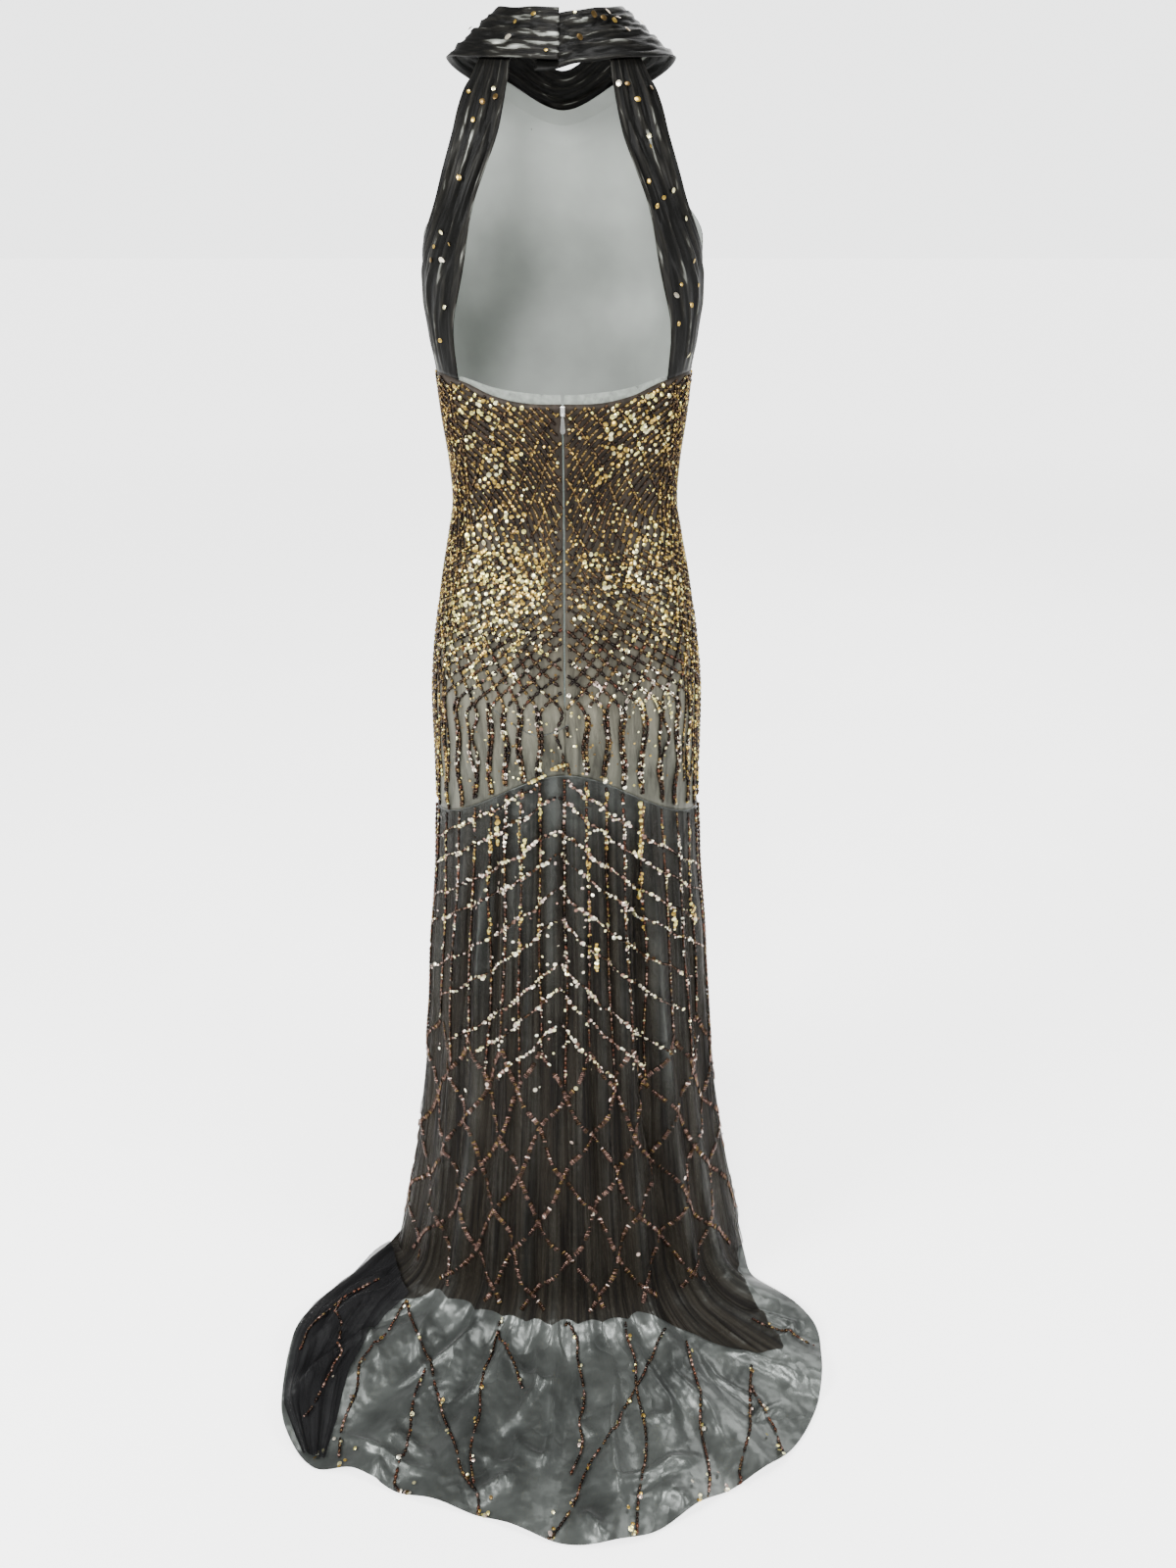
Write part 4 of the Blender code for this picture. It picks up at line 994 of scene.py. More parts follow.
def front_rule(across, up):
    body = np.minimum(up / FRONT_SHARE, 1.0)
    edge = np.maximum(smooth(ARMHOLE, mix(SEAM_SIDE, FRONT_TUCKS_AT, body), 1), FRONT_START)
    direction = mix(edge, 360 - edge, across)
    top = smooth(RINGS, 180 - np.abs(direction - 180), 1) - 0.012
    height = mix(seam_height(direction) + SEAM_GAP / 2, top, body)
    return tuck_under(figure_spot(height, direction, PANEL_IN), direction, up, FRONT_SHARE, 0.30)


front_panel = lay_cloth("satin_bodice_front", 80, 120, front_rule, (0.40, 0.78))
give_wall(front_panel, 0.0008, lined=True)
finish_piece(front_panel, "beaded_net", ["bodice_front"], bodice_cloth, lining_satin)

# %% [markdown]
# ## Ruched net: straps and neckband
# The back straps and the neckband are strips of net pulled together lengthwise over a firm band.
# The pull makes narrow folds that run along the strip, join and part. Here and there the net is
# shot with silver thread, which shows as pale streaks, and its colour is painted darker in the folds
# and paler on their crests: painted shade and painted highlight. The folds are a sum of waves across
# the strip whose places drift along it, so that no two are alike.

# %% Ruched net material
# Painted shade and painted highlight: it is darkest in the folds and palest on their crests, along
# the strip by its UV map, with silver-thread patches paler still.
ruched = Recipe("ruched brown-black net with silver thread")
long_way = ruched.stretched(ruched.cloth(), 1.0, 0.13, 1.0)
folds = ruched.grain(long_way, 210.0, 4.0, distortion=0.5)
patches = ruched.grain(long_way, 70.0, 3.0, distortion=0.8)
crest = ruched.add("Attribute", {}, "Fac", attribute_name="crest")
lit = ruched.times(patches, 0.8, ruched.times(crest, 0.30, folds))
share = ruched.span(lit, 0.93, 1.60)
ruched_net = ruched.finish({
    "Base Color": ruched.ramp(share, (0.18, "#070706"), (1.0, "#a9aca4"), (0.50, "#1d1c19")),
    "Metallic": ruched.times(share, 0.75),
    "Normal": ruched.relief(folds, 0.7, 0.0012),
    "Roughness": 0.45, "Specular IOR Level": 0.1,
})
print("ruched net ready")

# %% Straps
STRAP = (
    # height, direction of the inner edge, of the outer edge
    (1.206, 59, 90), (1.25, 57, 90), (1.285, 52.5, 90), (1.31, 49.5, 80), (1.335, 46.5, 68.5),
    (1.36, 43, 60.5), (1.385, 38.5, 56), (1.41, 35, 54), (1.435, 34, 54), (1.462, 34.5, 54.5),
)
STRAP_WAVES = (
    # folds across the strap, how far they drift along it, depth, start
    (3.5, 0.4, 0.0009, 0.6), (6.2, -0.9, 0.0006, 2.1), (9.3, 1.6, 0.0004, 4), (14, -2.4, 0.0002, 1),
)
DEEPEST_FOLD = 0.0024


def ruche(waves, across, along):
    """The height of a ruched strip's folds, dying out at its two long edges."""
    held = ease(across * 7) * ease((1 - across) * 7)
    drift = 0.35 * np.sin(2.1 * along * np.pi) + 0.2 * np.sin(5.3 * along * np.pi + 1)
    height = 0.0
    for count, sway, depth, start in waves:
        height = height + depth * np.sin(2 * np.pi * count * across + sway * 4 * (along + drift) + start)
    return height * held


def strap_rule(side, across, up):
    foot = back_top(mix(59.0, 90.0, across)) + SEAM_GAP
    height = mix(foot, STRAP_TUCKS_AT, np.minimum(up / STRAP_SHARE, 1.0))
    inner, outer = smooth(STRAP, height, 1), np.minimum(smooth(STRAP, height, 2), BACK_END)
    direction = side * mix(inner, outer, across)
    fold = ruche(STRAP_WAVES, across, up * 1.5) * ease(up * 9)
    return tuck_under(figure_spot(height, direction, fold), direction, up, STRAP_SHARE, 0.34)


for name, side in SIDES:
    strap = lay_cloth("ruched_strap_" + name, 44, 84, lambda *at: strap_rule(side, *at), (0.05, 0.27))
    give_wall(strap, 0.0010)
    across, up = laid[strap.name]
    # The crest value pales the colour: painted highlight on the folds' crests, painted shade in the
    # folds, and silver thread in the inner strip and the patch.
    crest = 0.5 + ruche(STRAP_WAVES, across, up * 1.5) / DEEPEST_FOLD
    inner_strip = 0.55 * ease((0.16 - across) / 0.05)
    silver_patch = 0.5 * bump((across - 0.85) / 0.25) * bump((up - 0.62) / 0.22)
    mark(strap, "crest", np.clip(crest + inner_strip + silver_patch, 0, 1.6))
    finish_piece(strap, "ruched_net", ["strap_" + name], ruched_net)

# %% Neckband
LAP_LEFT_END = 0.6
LAP_RIGHT_END = 16.0
COLLAR_LAP = 0.0021
COLLAR_WAVES = (
    (4, 0.5, 0.0008, 0), (6.6, -1.1, 0.0006, 2.3), (9.8, 1.9, 0.0004, 0.7), (15, -3.1, 0.0002, 3.3),
)


def collar_rule(up, across):
    """The neckband as one strip whose two ends lap at the centre back."""
    crowded = across - 0.2 * np.sin(2 * np.pi * across) / (2 * np.pi)
    direction = mix(LAP_LEFT_END, 360 + LAP_RIGHT_END, crowded)
    over = COLLAR_LAP * (1 - ease((direction - 22) / 26))
    under = COLLAR_LAP * ease((direction - 318) / 26)
    drop = 0.16 * ease((direction - 346) / 26)
    gather = ruche(COLLAR_WAVES, up, across * 4)
    return collar_spot(direction, up - drop * (1 - 0.6 * up), over - under + gather)


neckband = lay_cloth("ruched_neckband", 34, 200, collar_rule, (0.055, 0.56))
give_wall(neckband, 0.0012)
rise, along = laid[neckband.name]
# The crest value pales the colour: painted highlight on the folds' crests, painted shade in the folds,
# and silver thread at the overlapping end.
crest = 0.5 + ruche(COLLAR_WAVES, rise, along * 4) / DEEPEST_FOLD
over_end = 0.7 * ease((0.17 - along) / 0.04) * (0.35 + bump((rise - 0.15) / 0.3))
mark(neckband, "crest", np.clip(crest + over_end, 0, 1.6))
finish_piece(neckband, "ruched_net", ["neckband"], ruched_net)

# %% [markdown]
# ## Sheer edging, zip and seam bindings
# A strip of pale stiff net stands above the back's top edge and comes out a little over the zip.
# The zip is a coil zip: two rows of nylon loops on woven tapes, closed by a metal slider. A narrow
# satin binding covers the arched seam at the hips.

# %% Sheer edging
# Crin-like net: thin, slightly shiny, and paler and denser together in soft patches.
crin = Recipe("pale stiff nylon net")
haze = crin.grain(crin.place(), 160.0, 3.0)
sheer_net = crin.finish({
    "Base Color": crin.ramp(haze, (0.3, "#6f756e"), (0.7, "#949a92")),
    "Alpha": crin.span(haze, 0.0, 1.0, 0.5, 0.8), "Roughness": 0.45,
})
EDGING_DEPTH = 0.006  # how far the strip runs down inside the back
EDGING_IN = -0.0017


def edging_rule(side, across, up):
    direction = 90 * mix(0.012, 0.70, across)
    low, high = back_top(direction) - EDGING_DEPTH, back_top(direction, 2)
    return figure_spot(mix(low, high, up), side * direction, EDGING_IN)


for name, side in SIDES:
    strip = lay_cloth("sheer_edging_" + name, 60, 6, lambda *at: edging_rule(side, *at), (0.13, 0.015))
    finish_piece(strip, "sheer_edging", ["back_edging_" + name], sheer_net)

# %% Zip tape and the coil's nylon
# The tape is a plain close weave: matt, with fine ribs across it, drawn 1.6 mm apart to show.
woven = Recipe("woven polyester zip tape")
ribs = woven.add("TexWave", {"Vector": woven.place(), "Scale": 200.0}, "Fac", bands_direction="Z")
tape_weave = woven.finish(
    {"Base Color": woven.ramp(ribs, (0.2, "#59635e"), (0.8, "#7f8983")), "Roughness": 0.7}
)
# Nylon wire is smooth and slightly clear, so it takes a small crisp highlight on each loop.
wire = Recipe("nylon zip coil, extruded monofilament")
milk = wire.grain(wire.place(), 400.0)
milky = wire.ramp(milk, (0.3, "#545d59"), (0.7, "#7d8782"))
coil_nylon = wire.finish({"Base Color": milky, "Roughness": 0.3})
TAPE_HALF = 0.0054
TAPE_IN = -0.0018


def tape_rule(across, up):
    height = mix(0.868, 1.1795, up)
    direction = np.degrees(mix(-TAPE_HALF, TAPE_HALF, across) / figure_radius(height, 0.0))
    return figure_spot(height, direction, TAPE_IN)


tape = lay_cloth("woven_zip_tape", 6, 60, tape_rule, (0.0108, 0.31), facing=(0, 1, 0))
give_wall(tape, 0.0006)
finish_piece(tape, "zip_tape", ["zip_tape"], tape_weave)

# %% [markdown]
# ## Many small things at once
# Beads, sequins and zip loops are too many for one object each. One small template of each kind
# is made with Blender's own operators. Then NumPy copies its points to every place at once,
# turned to the string's direction and the cloth's slope, and all of them become one mesh. Each
# copy carries its own tint in a colour attribute, and its own small square in a UV map, so that
# no two copies overlap in it.


# %% Templates and copies
def make_template(operator, **shape):
    """Points and faces of one small shape along its own Z, from one of Blender's operators."""
    form = bmesh.new()
    operator(form, **shape)
    form.verts.ensure_lookup_table()
    places = np.array([v.co[:] for v in form.verts])
    faces = [[v.index for v in face.verts] for face in form.faces]
    form.free()
    return places, faces


def make_cone(sides, radius, tip_radius, length, capped=True):
    return make_template(
        bmesh.ops.create_cone, segments=sides, radius1=radius, radius2=tip_radius, depth=length,
        cap_ends=capped,
    )


def copies_of(template, places, along, outward, sizes, tints):
    """The template at every place, its Z turned along and its Y outward."""
    along = unit(along)
    sideways = unit(np.cross(outward, along))
    up = np.cross(along, sideways)
    turned = np.stack([sideways, up, along], axis=1) * np.asarray(sizes, float).reshape(-1, 1, 1)
    points = places[:, None, :] + np.einsum("vk,nkc->nvc", template[0], turned)
    return points, template[1], np.asarray(tints, float)


print("template points of a small cone:", len(make_cone(5, 1.0, 1.0, 1.0)[0]))


# %% A helper that joins the copies
def join_copies(name, batches):
    """One mesh of all the copies, with a tint for each point and a UV square for each copy."""
    kinds = {}  # the batches of each template
    for batch in batches:
        if len(batch[0]):
            kinds.setdefault(id(batch[1]), []).append(batch)
    whole = sum(len(batch[0]) for batch in batches)
    grid = math.ceil(math.sqrt(whole))
    points, corners, starts, tints, squares = [], [], [], [], []
    base, corner, copy = 0, 0, 0
    for same in kinds.values():
        places = np.concatenate([batch[0] for batch in same])
        faces = same[0][1]
        count, per_copy = places.shape[:2]
        number = np.arange(count)[:, None]
        loop = np.concatenate(faces)
        first = np.cumsum([0] + [len(face) for face in faces[:-1]])
        corners.append((loop + base + number * per_copy).ravel())
        starts.append((first + corner + number * len(loop)).ravel())
        turn = 2 * np.pi * (np.arange(len(loop)) + 0.5) / len(loop)
        inside = 0.5 + 0.36 * np.stack([np.cos(turn), np.sin(turn)], -1)
        low = np.stack([(copy + number) % grid, (copy + number) // grid], -1)
        squares.append(((low + inside) / grid).reshape(-1, 2))
        points.append(places.reshape(-1, 3))
        tints.append(np.repeat(np.concatenate([batch[2] for batch in same]), per_copy, axis=0))
        base, corner, copy = base + count * per_copy, corner + count * len(loop), copy + count
    parts = (points, corners, starts, tints, squares)
    points, corners, starts, tints, squares = map(np.concatenate, parts)
    mesh = bpy.data.meshes.new(name)
    mesh.vertices.add(len(points))
    mesh.vertices.foreach_set("co", points.ravel())
    mesh.loops.add(len(corners))
    mesh.loops.foreach_set("vertex_index", corners)
    mesh.polygons.add(len(starts))
    mesh.polygons.foreach_set("loop_start", starts)
    layer = mesh.color_attributes.new("tint", "FLOAT_COLOR", "POINT")
    layer.data.foreach_set("color", np.hstack([tints, np.ones((len(tints), 1))]).ravel())
    mesh.uv_layers.new(name="OFBake").data.foreach_set("uv", squares.ravel())
    mesh.update()
    mesh.validate()
    print(f"{name}: {whole} copies, {len(corners) - 2 * len(starts)} triangles")
    return add_item(name, mesh)


print("joining helper ready")

# %% Zip coil
LOOP_PITCH = 0.0017
LOOP_OFF = 0.0004  # from the middle line to the middle of a loop
LOOP_IN = -0.0006
rows = np.arange(ZIP_BOTTOM, 1.166, LOOP_PITCH)
side_of = np.tile([1.0, -1.0], len(rows))
heights = np.repeat(rows, 2) + np.where(side_of > 0, 0, LOOP_PITCH / 2)
loops = figure_spot(heights, np.degrees(side_of * LOOP_OFF / figure_radius(heights, 0.0)), LOOP_IN)
sideways, backward, pale = (
    np.tile([row], (len(loops), 1)) for row in ((1.0, 0.0, 0.0), (0.0, 1.0, 0.0), linear("#919b96")[:3])
)
loop_shape = make_cone(5, 0.0004, 0.0004, 0.0012)
batch = copies_of(loop_shape, loops, sideways, backward, np.ones(len(loops)), pale)
finish_piece(join_copies("zip_coil", [batch]), "zip_tape", [], coil_nylon)


# %% A helper for a thin cord along a path
CORD_SIDES = 6
CORD_LIFT = 0.0002


def lay_cord(name, height, direction, radius, flatness):
    """A closed-off cord along a path on the figure: a grid rolled round it and merged."""
    points = figure_spot(height, direction, CORD_LIFT)
    normals = unit(points * (1, 1, 0))
    across_way = np.cross(unit(np.gradient(points, axis=0)), normals)

    def rule(across, up):
        at = up * (len(points) - 1)
        k = np.minimum(at.astype(int), len(points) - 2)
        t = (at - k)[:, None]
        angle = 2 * np.pi * across[:, None]
        offset = np.cos(angle) * mix(across_way[k], across_way[k + 1], t)
        offset = offset + np.sin(angle) * flatness * mix(normals[k], normals[k + 1], t)
        return mix(points[k], points[k + 1], t) + offset * radius

    cord = lay_cloth(name, CORD_SIDES, len(points) - 1, rule, (2 * np.pi * radius, 1.0))
    form = bmesh.new()
    form.from_mesh(cord.data)
    bmesh.ops.remove_doubles(form, verts=form.verts, dist=radius / 20)
    bmesh.ops.recalc_face_normals(form, faces=form.faces)
    form.to_mesh(cord.data)
    form.free()
    finish_piece(cord, "skirt_satin", [], silver_satin)


def along_knots(path, count):
    """Places spread evenly from knot to knot of a path of pairs: both values, and the knot."""
    knots = np.linspace(0, len(path) - 1, count)
    first, second = (np.interp(knots, range(len(path)), column) for column in zip(*path))
    return first, second, knots


# %% Hip binding and the fine seam above it
LINING_SEAM = ((37.1, 0.866), (28.5, 0.853), (18.7, 0.841), (12.6, 0.839), (4.3, 0.845), (-1.9, 0.853))
round_hips = np.arange(-90, 270.1, 1.5)
lay_cord("hip_seam_binding", seam_height(round_hips), round_hips, 0.0007, 0.8)
direction, height, _ = along_knots(LINING_SEAM, 40)
lay_cord("lining_seam_ridge", height, direction, 0.0006, 0.7)

# %% [markdown]
# ## Bead strings
# The beading is a lattice. Two families of strings cross, one leaning each way, and both keep the
# same number of strings all the way down. Where the waist narrows they crowd together, and where
# the hips widen they open out. At the hips they stop leaning and run straight down as pairs, so
# the lattice turns into vertical lines. Below the knee every second line starts to cross again in
# wide diamonds. One number, the lean, says how many strings a family has moved sideways by at
# each height, and it alone makes all of that.

# %% The lattice's rule
STRING_DIRECTIONS = (
    -84.5, -76, -67.5, -59, -50, -40, -30, -21.5, -11.3, 0.5, 13.7, 23.3, 31, 38.9, 47.6, 56.7, 66, 75.5,
    84.5,
)
STRING_SPACING = 9.4  # degrees between two strings at the hips
LATTICE = (
    # height, degrees between two strings of a family, height of one whole diamond
    (0.7, 9.4, 9), (0.858, 9.4, 9), (0.866, 9.3, 0.06), (0.88, 9, 0.022), (0.91, 8.3, 0.0185),
    (0.945, 7.4, 0.014), (0.976, 6.4, 0.012), (1, 5.6, 0.011), (1.035, 4.8, 0.011), (1.07, 4.4, 0.0135),
    (1.11, 4.6, 0.012), (1.15, 5.2, 0.01), (1.19, 6, 0.009), (1.26, 6.4, 0.011), (1.33, 6.6, 0.013),
    (1.47, 6, 0.016),
)
LATTICE_STEP = 0.002
lattice_heights = np.arange(1.47, 0.70, -LATTICE_STEP)
row_heights, *row_sizes = zip(*LATTICE)
spacing, diamond = (np.interp(lattice_heights, row_heights, sizes) for sizes in row_sizes)
lean = np.concatenate([[0], np.cumsum(LATTICE_STEP / diamond[:-1])])
lean -= lean[-1] - round(lean[-1])  # a whole number at the hips, so the two families meet there


def string_direction(number):
    """The direction of a string, by its number counted from the centre back, at the hips."""
    middle = len(STRING_DIRECTIONS) // 2
    inside = np.interp(number, np.arange(-middle, middle + 1), STRING_DIRECTIONS)
    past = np.maximum(np.abs(number) - middle, 0) * STRING_SPACING * np.sign(number)
    return inside + past


print("whole diamonds from neck to hips:", round(float(lean[-1] - lean[0]), 1))

# %% Bead shapes and tints
TINTS = {
    "dark": "#1d130d", "brown": "#3c2a1a", "red": "#4a2a1c", "bronze": "#6a5532", "gold": "#b8994c",
    "pale": "#f2eab4", "copper": "#7c6156", "rosewood": "#543f38", "rose": "#dcc5b9",
    "white": "#f8eed6", "yellow": "#e8dc84",
}
tint_of = {name: np.array(linear(value)[:3]) for name, value in TINTS.items()}
BUGLE = make_cone(4, 0.0016, 0.0016, 0.0034)
SEED = make_template(bmesh.ops.create_uvsphere, u_segments=4, v_segments=2, radius=0.0014)
BAR = make_cone(4, 0.0012, 0.0012, 0.0060)  # a bugle that lies across its string
BEAD_PITCH = 0.0058  # one bugle and one seed
BAR_PITCH = 0.0027
BEAD_LIFT = 0.0012  # from the cloth to a bead's middle
BAR_LIFT = 0.0011
WHOLE_TURN = 6.28  # for a random phase, in radians
choose = np.random.default_rng(7)


def pick_tints(palette, count):
    """Random tints. palette is a list of (tint, share)."""
    names, shares = zip(*palette)
    shares = np.array(shares, float)
    picked = choose.choice(len(palette), count, p=shares / shares.sum())
    colours = np.array([tint_of[name] for name in names])[picked]
    return np.clip(colours * choose.uniform(0.75, 1.2, (count, 1)), 0, 1)


print("points of a bugle, a seed and a bar:", *(len(shape[0]) for shape in (BUGLE, SEED, BAR)))


# %% Strings of beads and of bars
def along_path(points, normals, at, length):
    """Places, outward directions and ways along, at these lengths of a path."""
    rows = (points, normals, np.gradient(points, axis=0))
    return [np.stack([np.interp(at, length, column) for column in row.T], -1) for row in rows]


def path_length(points):
    steps = np.linalg.norm(np.diff(points, axis=0), axis=1)
    return np.concatenate([[0], np.cumsum(steps)])


def loosened(ways, spread):
    """The same directions, each a little off."""
    lengths = np.linalg.norm(ways, axis=1, keepdims=True)
    return ways + choose.normal(0, spread, ways.shape) * lengths


def bead_string(points, normals, palette, size=1.0, keep=1.0):
    """Bugles and seeds by turns along a path that lies on the cloth."""
    length = path_length(points)
    pitch = BEAD_PITCH * size
    count = int(length[-1] / pitch)
    if count < 1:
        return []
    batches = []
    for template, start in ((BUGLE, 0.35), (SEED, 0.85)):
        at = (np.arange(count) + start) * pitch + choose.uniform(0, pitch * 0.1)
        at = at[(at < length[-1]) & (choose.random(count) < keep)]
        where, out, along = along_path(points, normals, at, length)
        along = loosened(along, 0.08)
        # Painted glints: each string's tints brighten and darken in runs along it.
        glow = 0.95 + 0.4 * np.sin(at * 75 + choose.uniform(0, WHOLE_TURN))
        tints = np.clip(pick_tints(palette, len(at)) * glow[:, None], 0, 1)
        lifted = where + out * (BEAD_LIFT * size)
        batches.append(copies_of(template, lifted, along, out, np.full(len(at), size), tints))
    return batches


def broken_runs(at, waves, keep, most):
    """The lengths that stay when a row comes and goes, with a few more left out."""
    phases = choose.uniform(0, WHOLE_TURN, 2)
    level = 0.5
    for (depth, rate), phase in zip(waves, phases):
        level = level + depth * np.sin(at * rate + phase)
    return at[(level > 1 - keep) & (choose.random(len(at)) < most)]


def bar_string(points, normals, palette, keep):
    """Bugles laid side by side across the path, like the rungs of a ladder, in broken runs."""
    length = path_length(points)
    at = np.arange(0.002, length[-1], BAR_PITCH)
    at = broken_runs(at, ((0.3, 190), (0.25, 410)), keep, 0.95)
    if not len(at):
        return []
    where, out, along = along_path(points, normals, at, length)
    rung = loosened(np.cross(along, out), 0.12)
    sizes = choose.uniform(0.8, 1.1, len(at))
    return [copies_of(BAR, where + out * BAR_LIFT, rung, out, sizes, pick_tints(palette, len(at)))]


print("string helpers ready")

# %% Strings on the bodice
WAIST_PALETTE = (("dark", 4), ("brown", 5), ("bronze", 6), ("gold", 2), ("yellow", 0.4))
LATTICE_PALETTE = (("dark", 7), ("brown", 5), ("red", 0.8), ("bronze", 1.6), ("gold", 0.3), ("pale", 0.3))
# The sides' palette holds more gold and yellow: partly the beads' own colour, partly a painted highlight
# where the sides catch the light.
SIDE_PALETTE = (("dark", 4), ("brown", 4), ("bronze", 4), ("gold", 2.5), ("yellow", 1.2))
STRETCHES = (
    # lowest and highest height, palette, size of the beads
    (0.7, 0.87, LATTICE_PALETTE, 1.18), (0.864, 0.957, LATTICE_PALETTE, 1.14),
    (0.953, 1.6, WAIST_PALETTE, 0.84),
)
SIDES_FROM = 62  # degrees from the centre: past it the strings take the sides' palette
string_spots = {False: [], True: []}  # directions and heights along the strings, back and front


def figure_normals(height, direction):
    """The figure's outward direction, from two small steps on it."""
    here = figure_spot(height, direction)
    side = figure_spot(height, direction + 0.3) - here
    rise = figure_spot(height + 0.001, direction) - here
    return unit(np.cross(rise, side))


def runs_of(keep):
    """Starts and ends of the unbroken stretches of a row of yes and no."""
    edges = np.flatnonzero(np.diff(np.concatenate([[0], keep.astype(int), [0]])))
    return zip(edges[::2], edges[1::2])


print("stretches of the bodice:", len(STRETCHES))


# %% Laying the bodice's strings
def paired(number, family, heights):
    """How far a string strays at the hips from the line it shares with its pair, in degrees."""
    below = np.maximum(0.868 - heights, 0)
    open_loop = 2.2 if number * 7 % 5 == 0 else 0.35
    loops = open_loop * np.sin(np.pi * below / 0.052 + 0.7 * (number * 5 % 4)) ** 2
    loops = loops * ease((0.1 - below) / 0.06)
    sway = np.sin(below * (60 + 9 * (number % 4)) + number * 2.3) * ease(below / 0.02)
    return sway + family * (0.5 * ease(below / 0.004) + loops * ease(below / 0.012))


def bodice_strings(front):
    """All strings of one side of the bodice: leaning ones above, pairs at the hips."""
    batches = []
    heights = lattice_heights
    for family, number in ((f, n) for f in (1, -1) for n in range(-75, 76)):
        direction = spacing / STRING_SPACING * string_direction(number - family * (lean - lean[-1]))
        strayed = direction + paired(number, family, heights)
        keep = (np.abs(direction) < 89.5) & (heights > seam_height(direction) + 0.002)
        if front:
            strayed = 180 - strayed
            top = smooth(RINGS, 180 - np.abs(strayed - 180), 1) - 0.016
            edge = smooth(ARMHOLE, heights, 1) + 1.0
            keep &= (heights < top) & (strayed > edge) & (strayed < 360 - edge)
        else:
            keep &= (heights < back_top(direction) - 0.002) & (np.abs(strayed) > 0.9)
        falling_in = np.sign(direction) * family > 0  # towards the centre back on the way down
        keep &= ~((heights > 1.03) & ~falling_in & (number % 3 > 0))
        for first, last in runs_of(keep):
            if last - first < 4:
                continue
            h, d, straight = (row[first:last] for row in (heights, strayed, direction))
            places, outs = figure_spot(h, d), figure_normals(h, d)
            string_spots[front].append((d, h))
            for low, high, palette, size in STRETCHES:
                part = np.flatnonzero((h >= low) & (h < high))
                if len(part) > 3:
                    at_side = np.mean(np.abs(straight[part])) > SIDES_FROM
                    colours = SIDE_PALETTE if at_side else palette
                    batches += bead_string(places[part], outs[part], colours, size, 0.97)
    return batches


back_batches = bodice_strings(False)
front_batches = bodice_strings(True)

# Dense upright strings cover both side seams.
for side in (-1, 1):
    for k, direction in enumerate(np.arange(64.0, 89.0, 3.6)):
        for turned, batches in ((direction, back_batches), (180 - direction, front_batches)):
            heights = np.arange(1.196, 0.755, -0.004)
            heights = heights[heights > seam_height(direction) + 0.003]
            wander = side * (turned + 0.9 * np.sin(heights * 60 + k * 2.1))
            places, outs = figure_spot(heights, wander), figure_normals(heights, wander)
            batches += bead_string(places, outs, SIDE_PALETTE, 0.85)
print("strings on the bodice, back and front:", len(string_spots[False]), len(string_spots[True]))


# %% Bead material
def make_tinted(name, scale, low, high, metallic, roughness):
    """A material that takes each copy's own tint, with a little unevenness."""
    recipe = Recipe(name)
    tint = recipe.add("VertexColor", {}, layer_name="tint")
    shade = recipe.span(recipe.grain(recipe.place(), scale, 1.0), 0.3, 0.7, low, high)
    return recipe.finish({
        "Base Color": recipe.scaled(tint, shade), "Metallic": metallic, "Roughness": roughness,
    })


# Small glass tubes with a metal lining: a warm body colour and a hard bright highlight.
glass_bead = make_tinted("lined glass beads", 350.0, 0.7, 1.35, 0.7, 0.24)
for name, batches in (("beads_bodice_back", back_batches), ("beads_bodice_front", front_batches)):
    finish_piece(join_copies(name, batches), "beaded_net", [], glass_bead)

# %% [markdown]
# ### Strings on the skirt
# Single strings go on straight down from the hips. Rows in the shape of a flat roof cross them at
# every few centimetres. Below the knee the strings open into wide diamonds, and on the train they
# run out to the hem along paths of their own.

# %% The skirt's strings
ROOFS = (
    # height at the centre, fall for each degree on the left and on the right, how far it reaches
    (0.796, 0.0015, 0.0018, 80), (0.768, 0.0016, 0.0019, 80), (0.727, 0.0017, 0.0019, 78),
    (0.6965, 0.0018, 0.002, 78), (0.651, 0.0021, 0.0021, 70), (0.613, 0.0023, 0.0024, 62),
    (0.5545, 0.0026, 0.0027, 52), (0.519, 0.0027, 0.0029, 44), (0.47, 0.0029, 0.0031, 30),
)
ROOF_APEX = 4.5  # the rows peak a little left of the zip
TRAIN_STRINGS = (
    # direction and reach of the knots that each string runs through
    ((55.3, 0.27), (49.4, 0.317), (45.5, 0.374), (41.8, 0.407), (35.9, 0.469)),
    ((55.3, 0.27), (37, 0.305), (27.8, 0.343), (19.1, 0.402), (14.6, 0.433), (12, 0.462)),
    ((34.7, 0.319), (29.4, 0.398), (25.8, 0.458), (24, 0.468)),
    ((26, 0.192), (23.2, 0.254), (20.2, 0.313), (18.3, 0.361), (15.1, 0.427)),
    ((24.5, 0.224), (16.2, 0.262), (10.5, 0.295)),
    ((1.8, 0.177), (-2.2, 0.214), (-3.4, 0.248), (-3.5, 0.313), (-2.7, 0.356), (-1.1, 0.401)),
    ((-31.7, 0.239), (-22.8, 0.269), (-12.5, 0.324), (-7.1, 0.367), (-1.9, 0.413), (2, 0.48)),
    ((-20.7, 0.201), (-18.7, 0.257), (-17, 0.307), (-13.8, 0.391), (-9.1, 0.484)),
    ((-35.3, 0.268), (-29.2, 0.332), (-26, 0.381), (-20.5, 0.462)),
    ((-43.3, 0.346), (-34.1, 0.398), (-27.7, 0.447), (-25.5, 0.462)),
    ((-39.9, 0.365), (-36.9, 0.412), (-35.5, 0.456)),
    ((62.5, 0.35), (52.1, 0.38), (46.8, 0.409), (44.2, 0.472)),
    ((66, 0.29), (63, 0.345), (58, 0.405), (56, 0.43)), ((-52, 0.31), (-54, 0.36), (-55.5, 0.395)),
)
FLAP_LIFT = 0.0065  # strings that start past 60 degrees lie on the flap
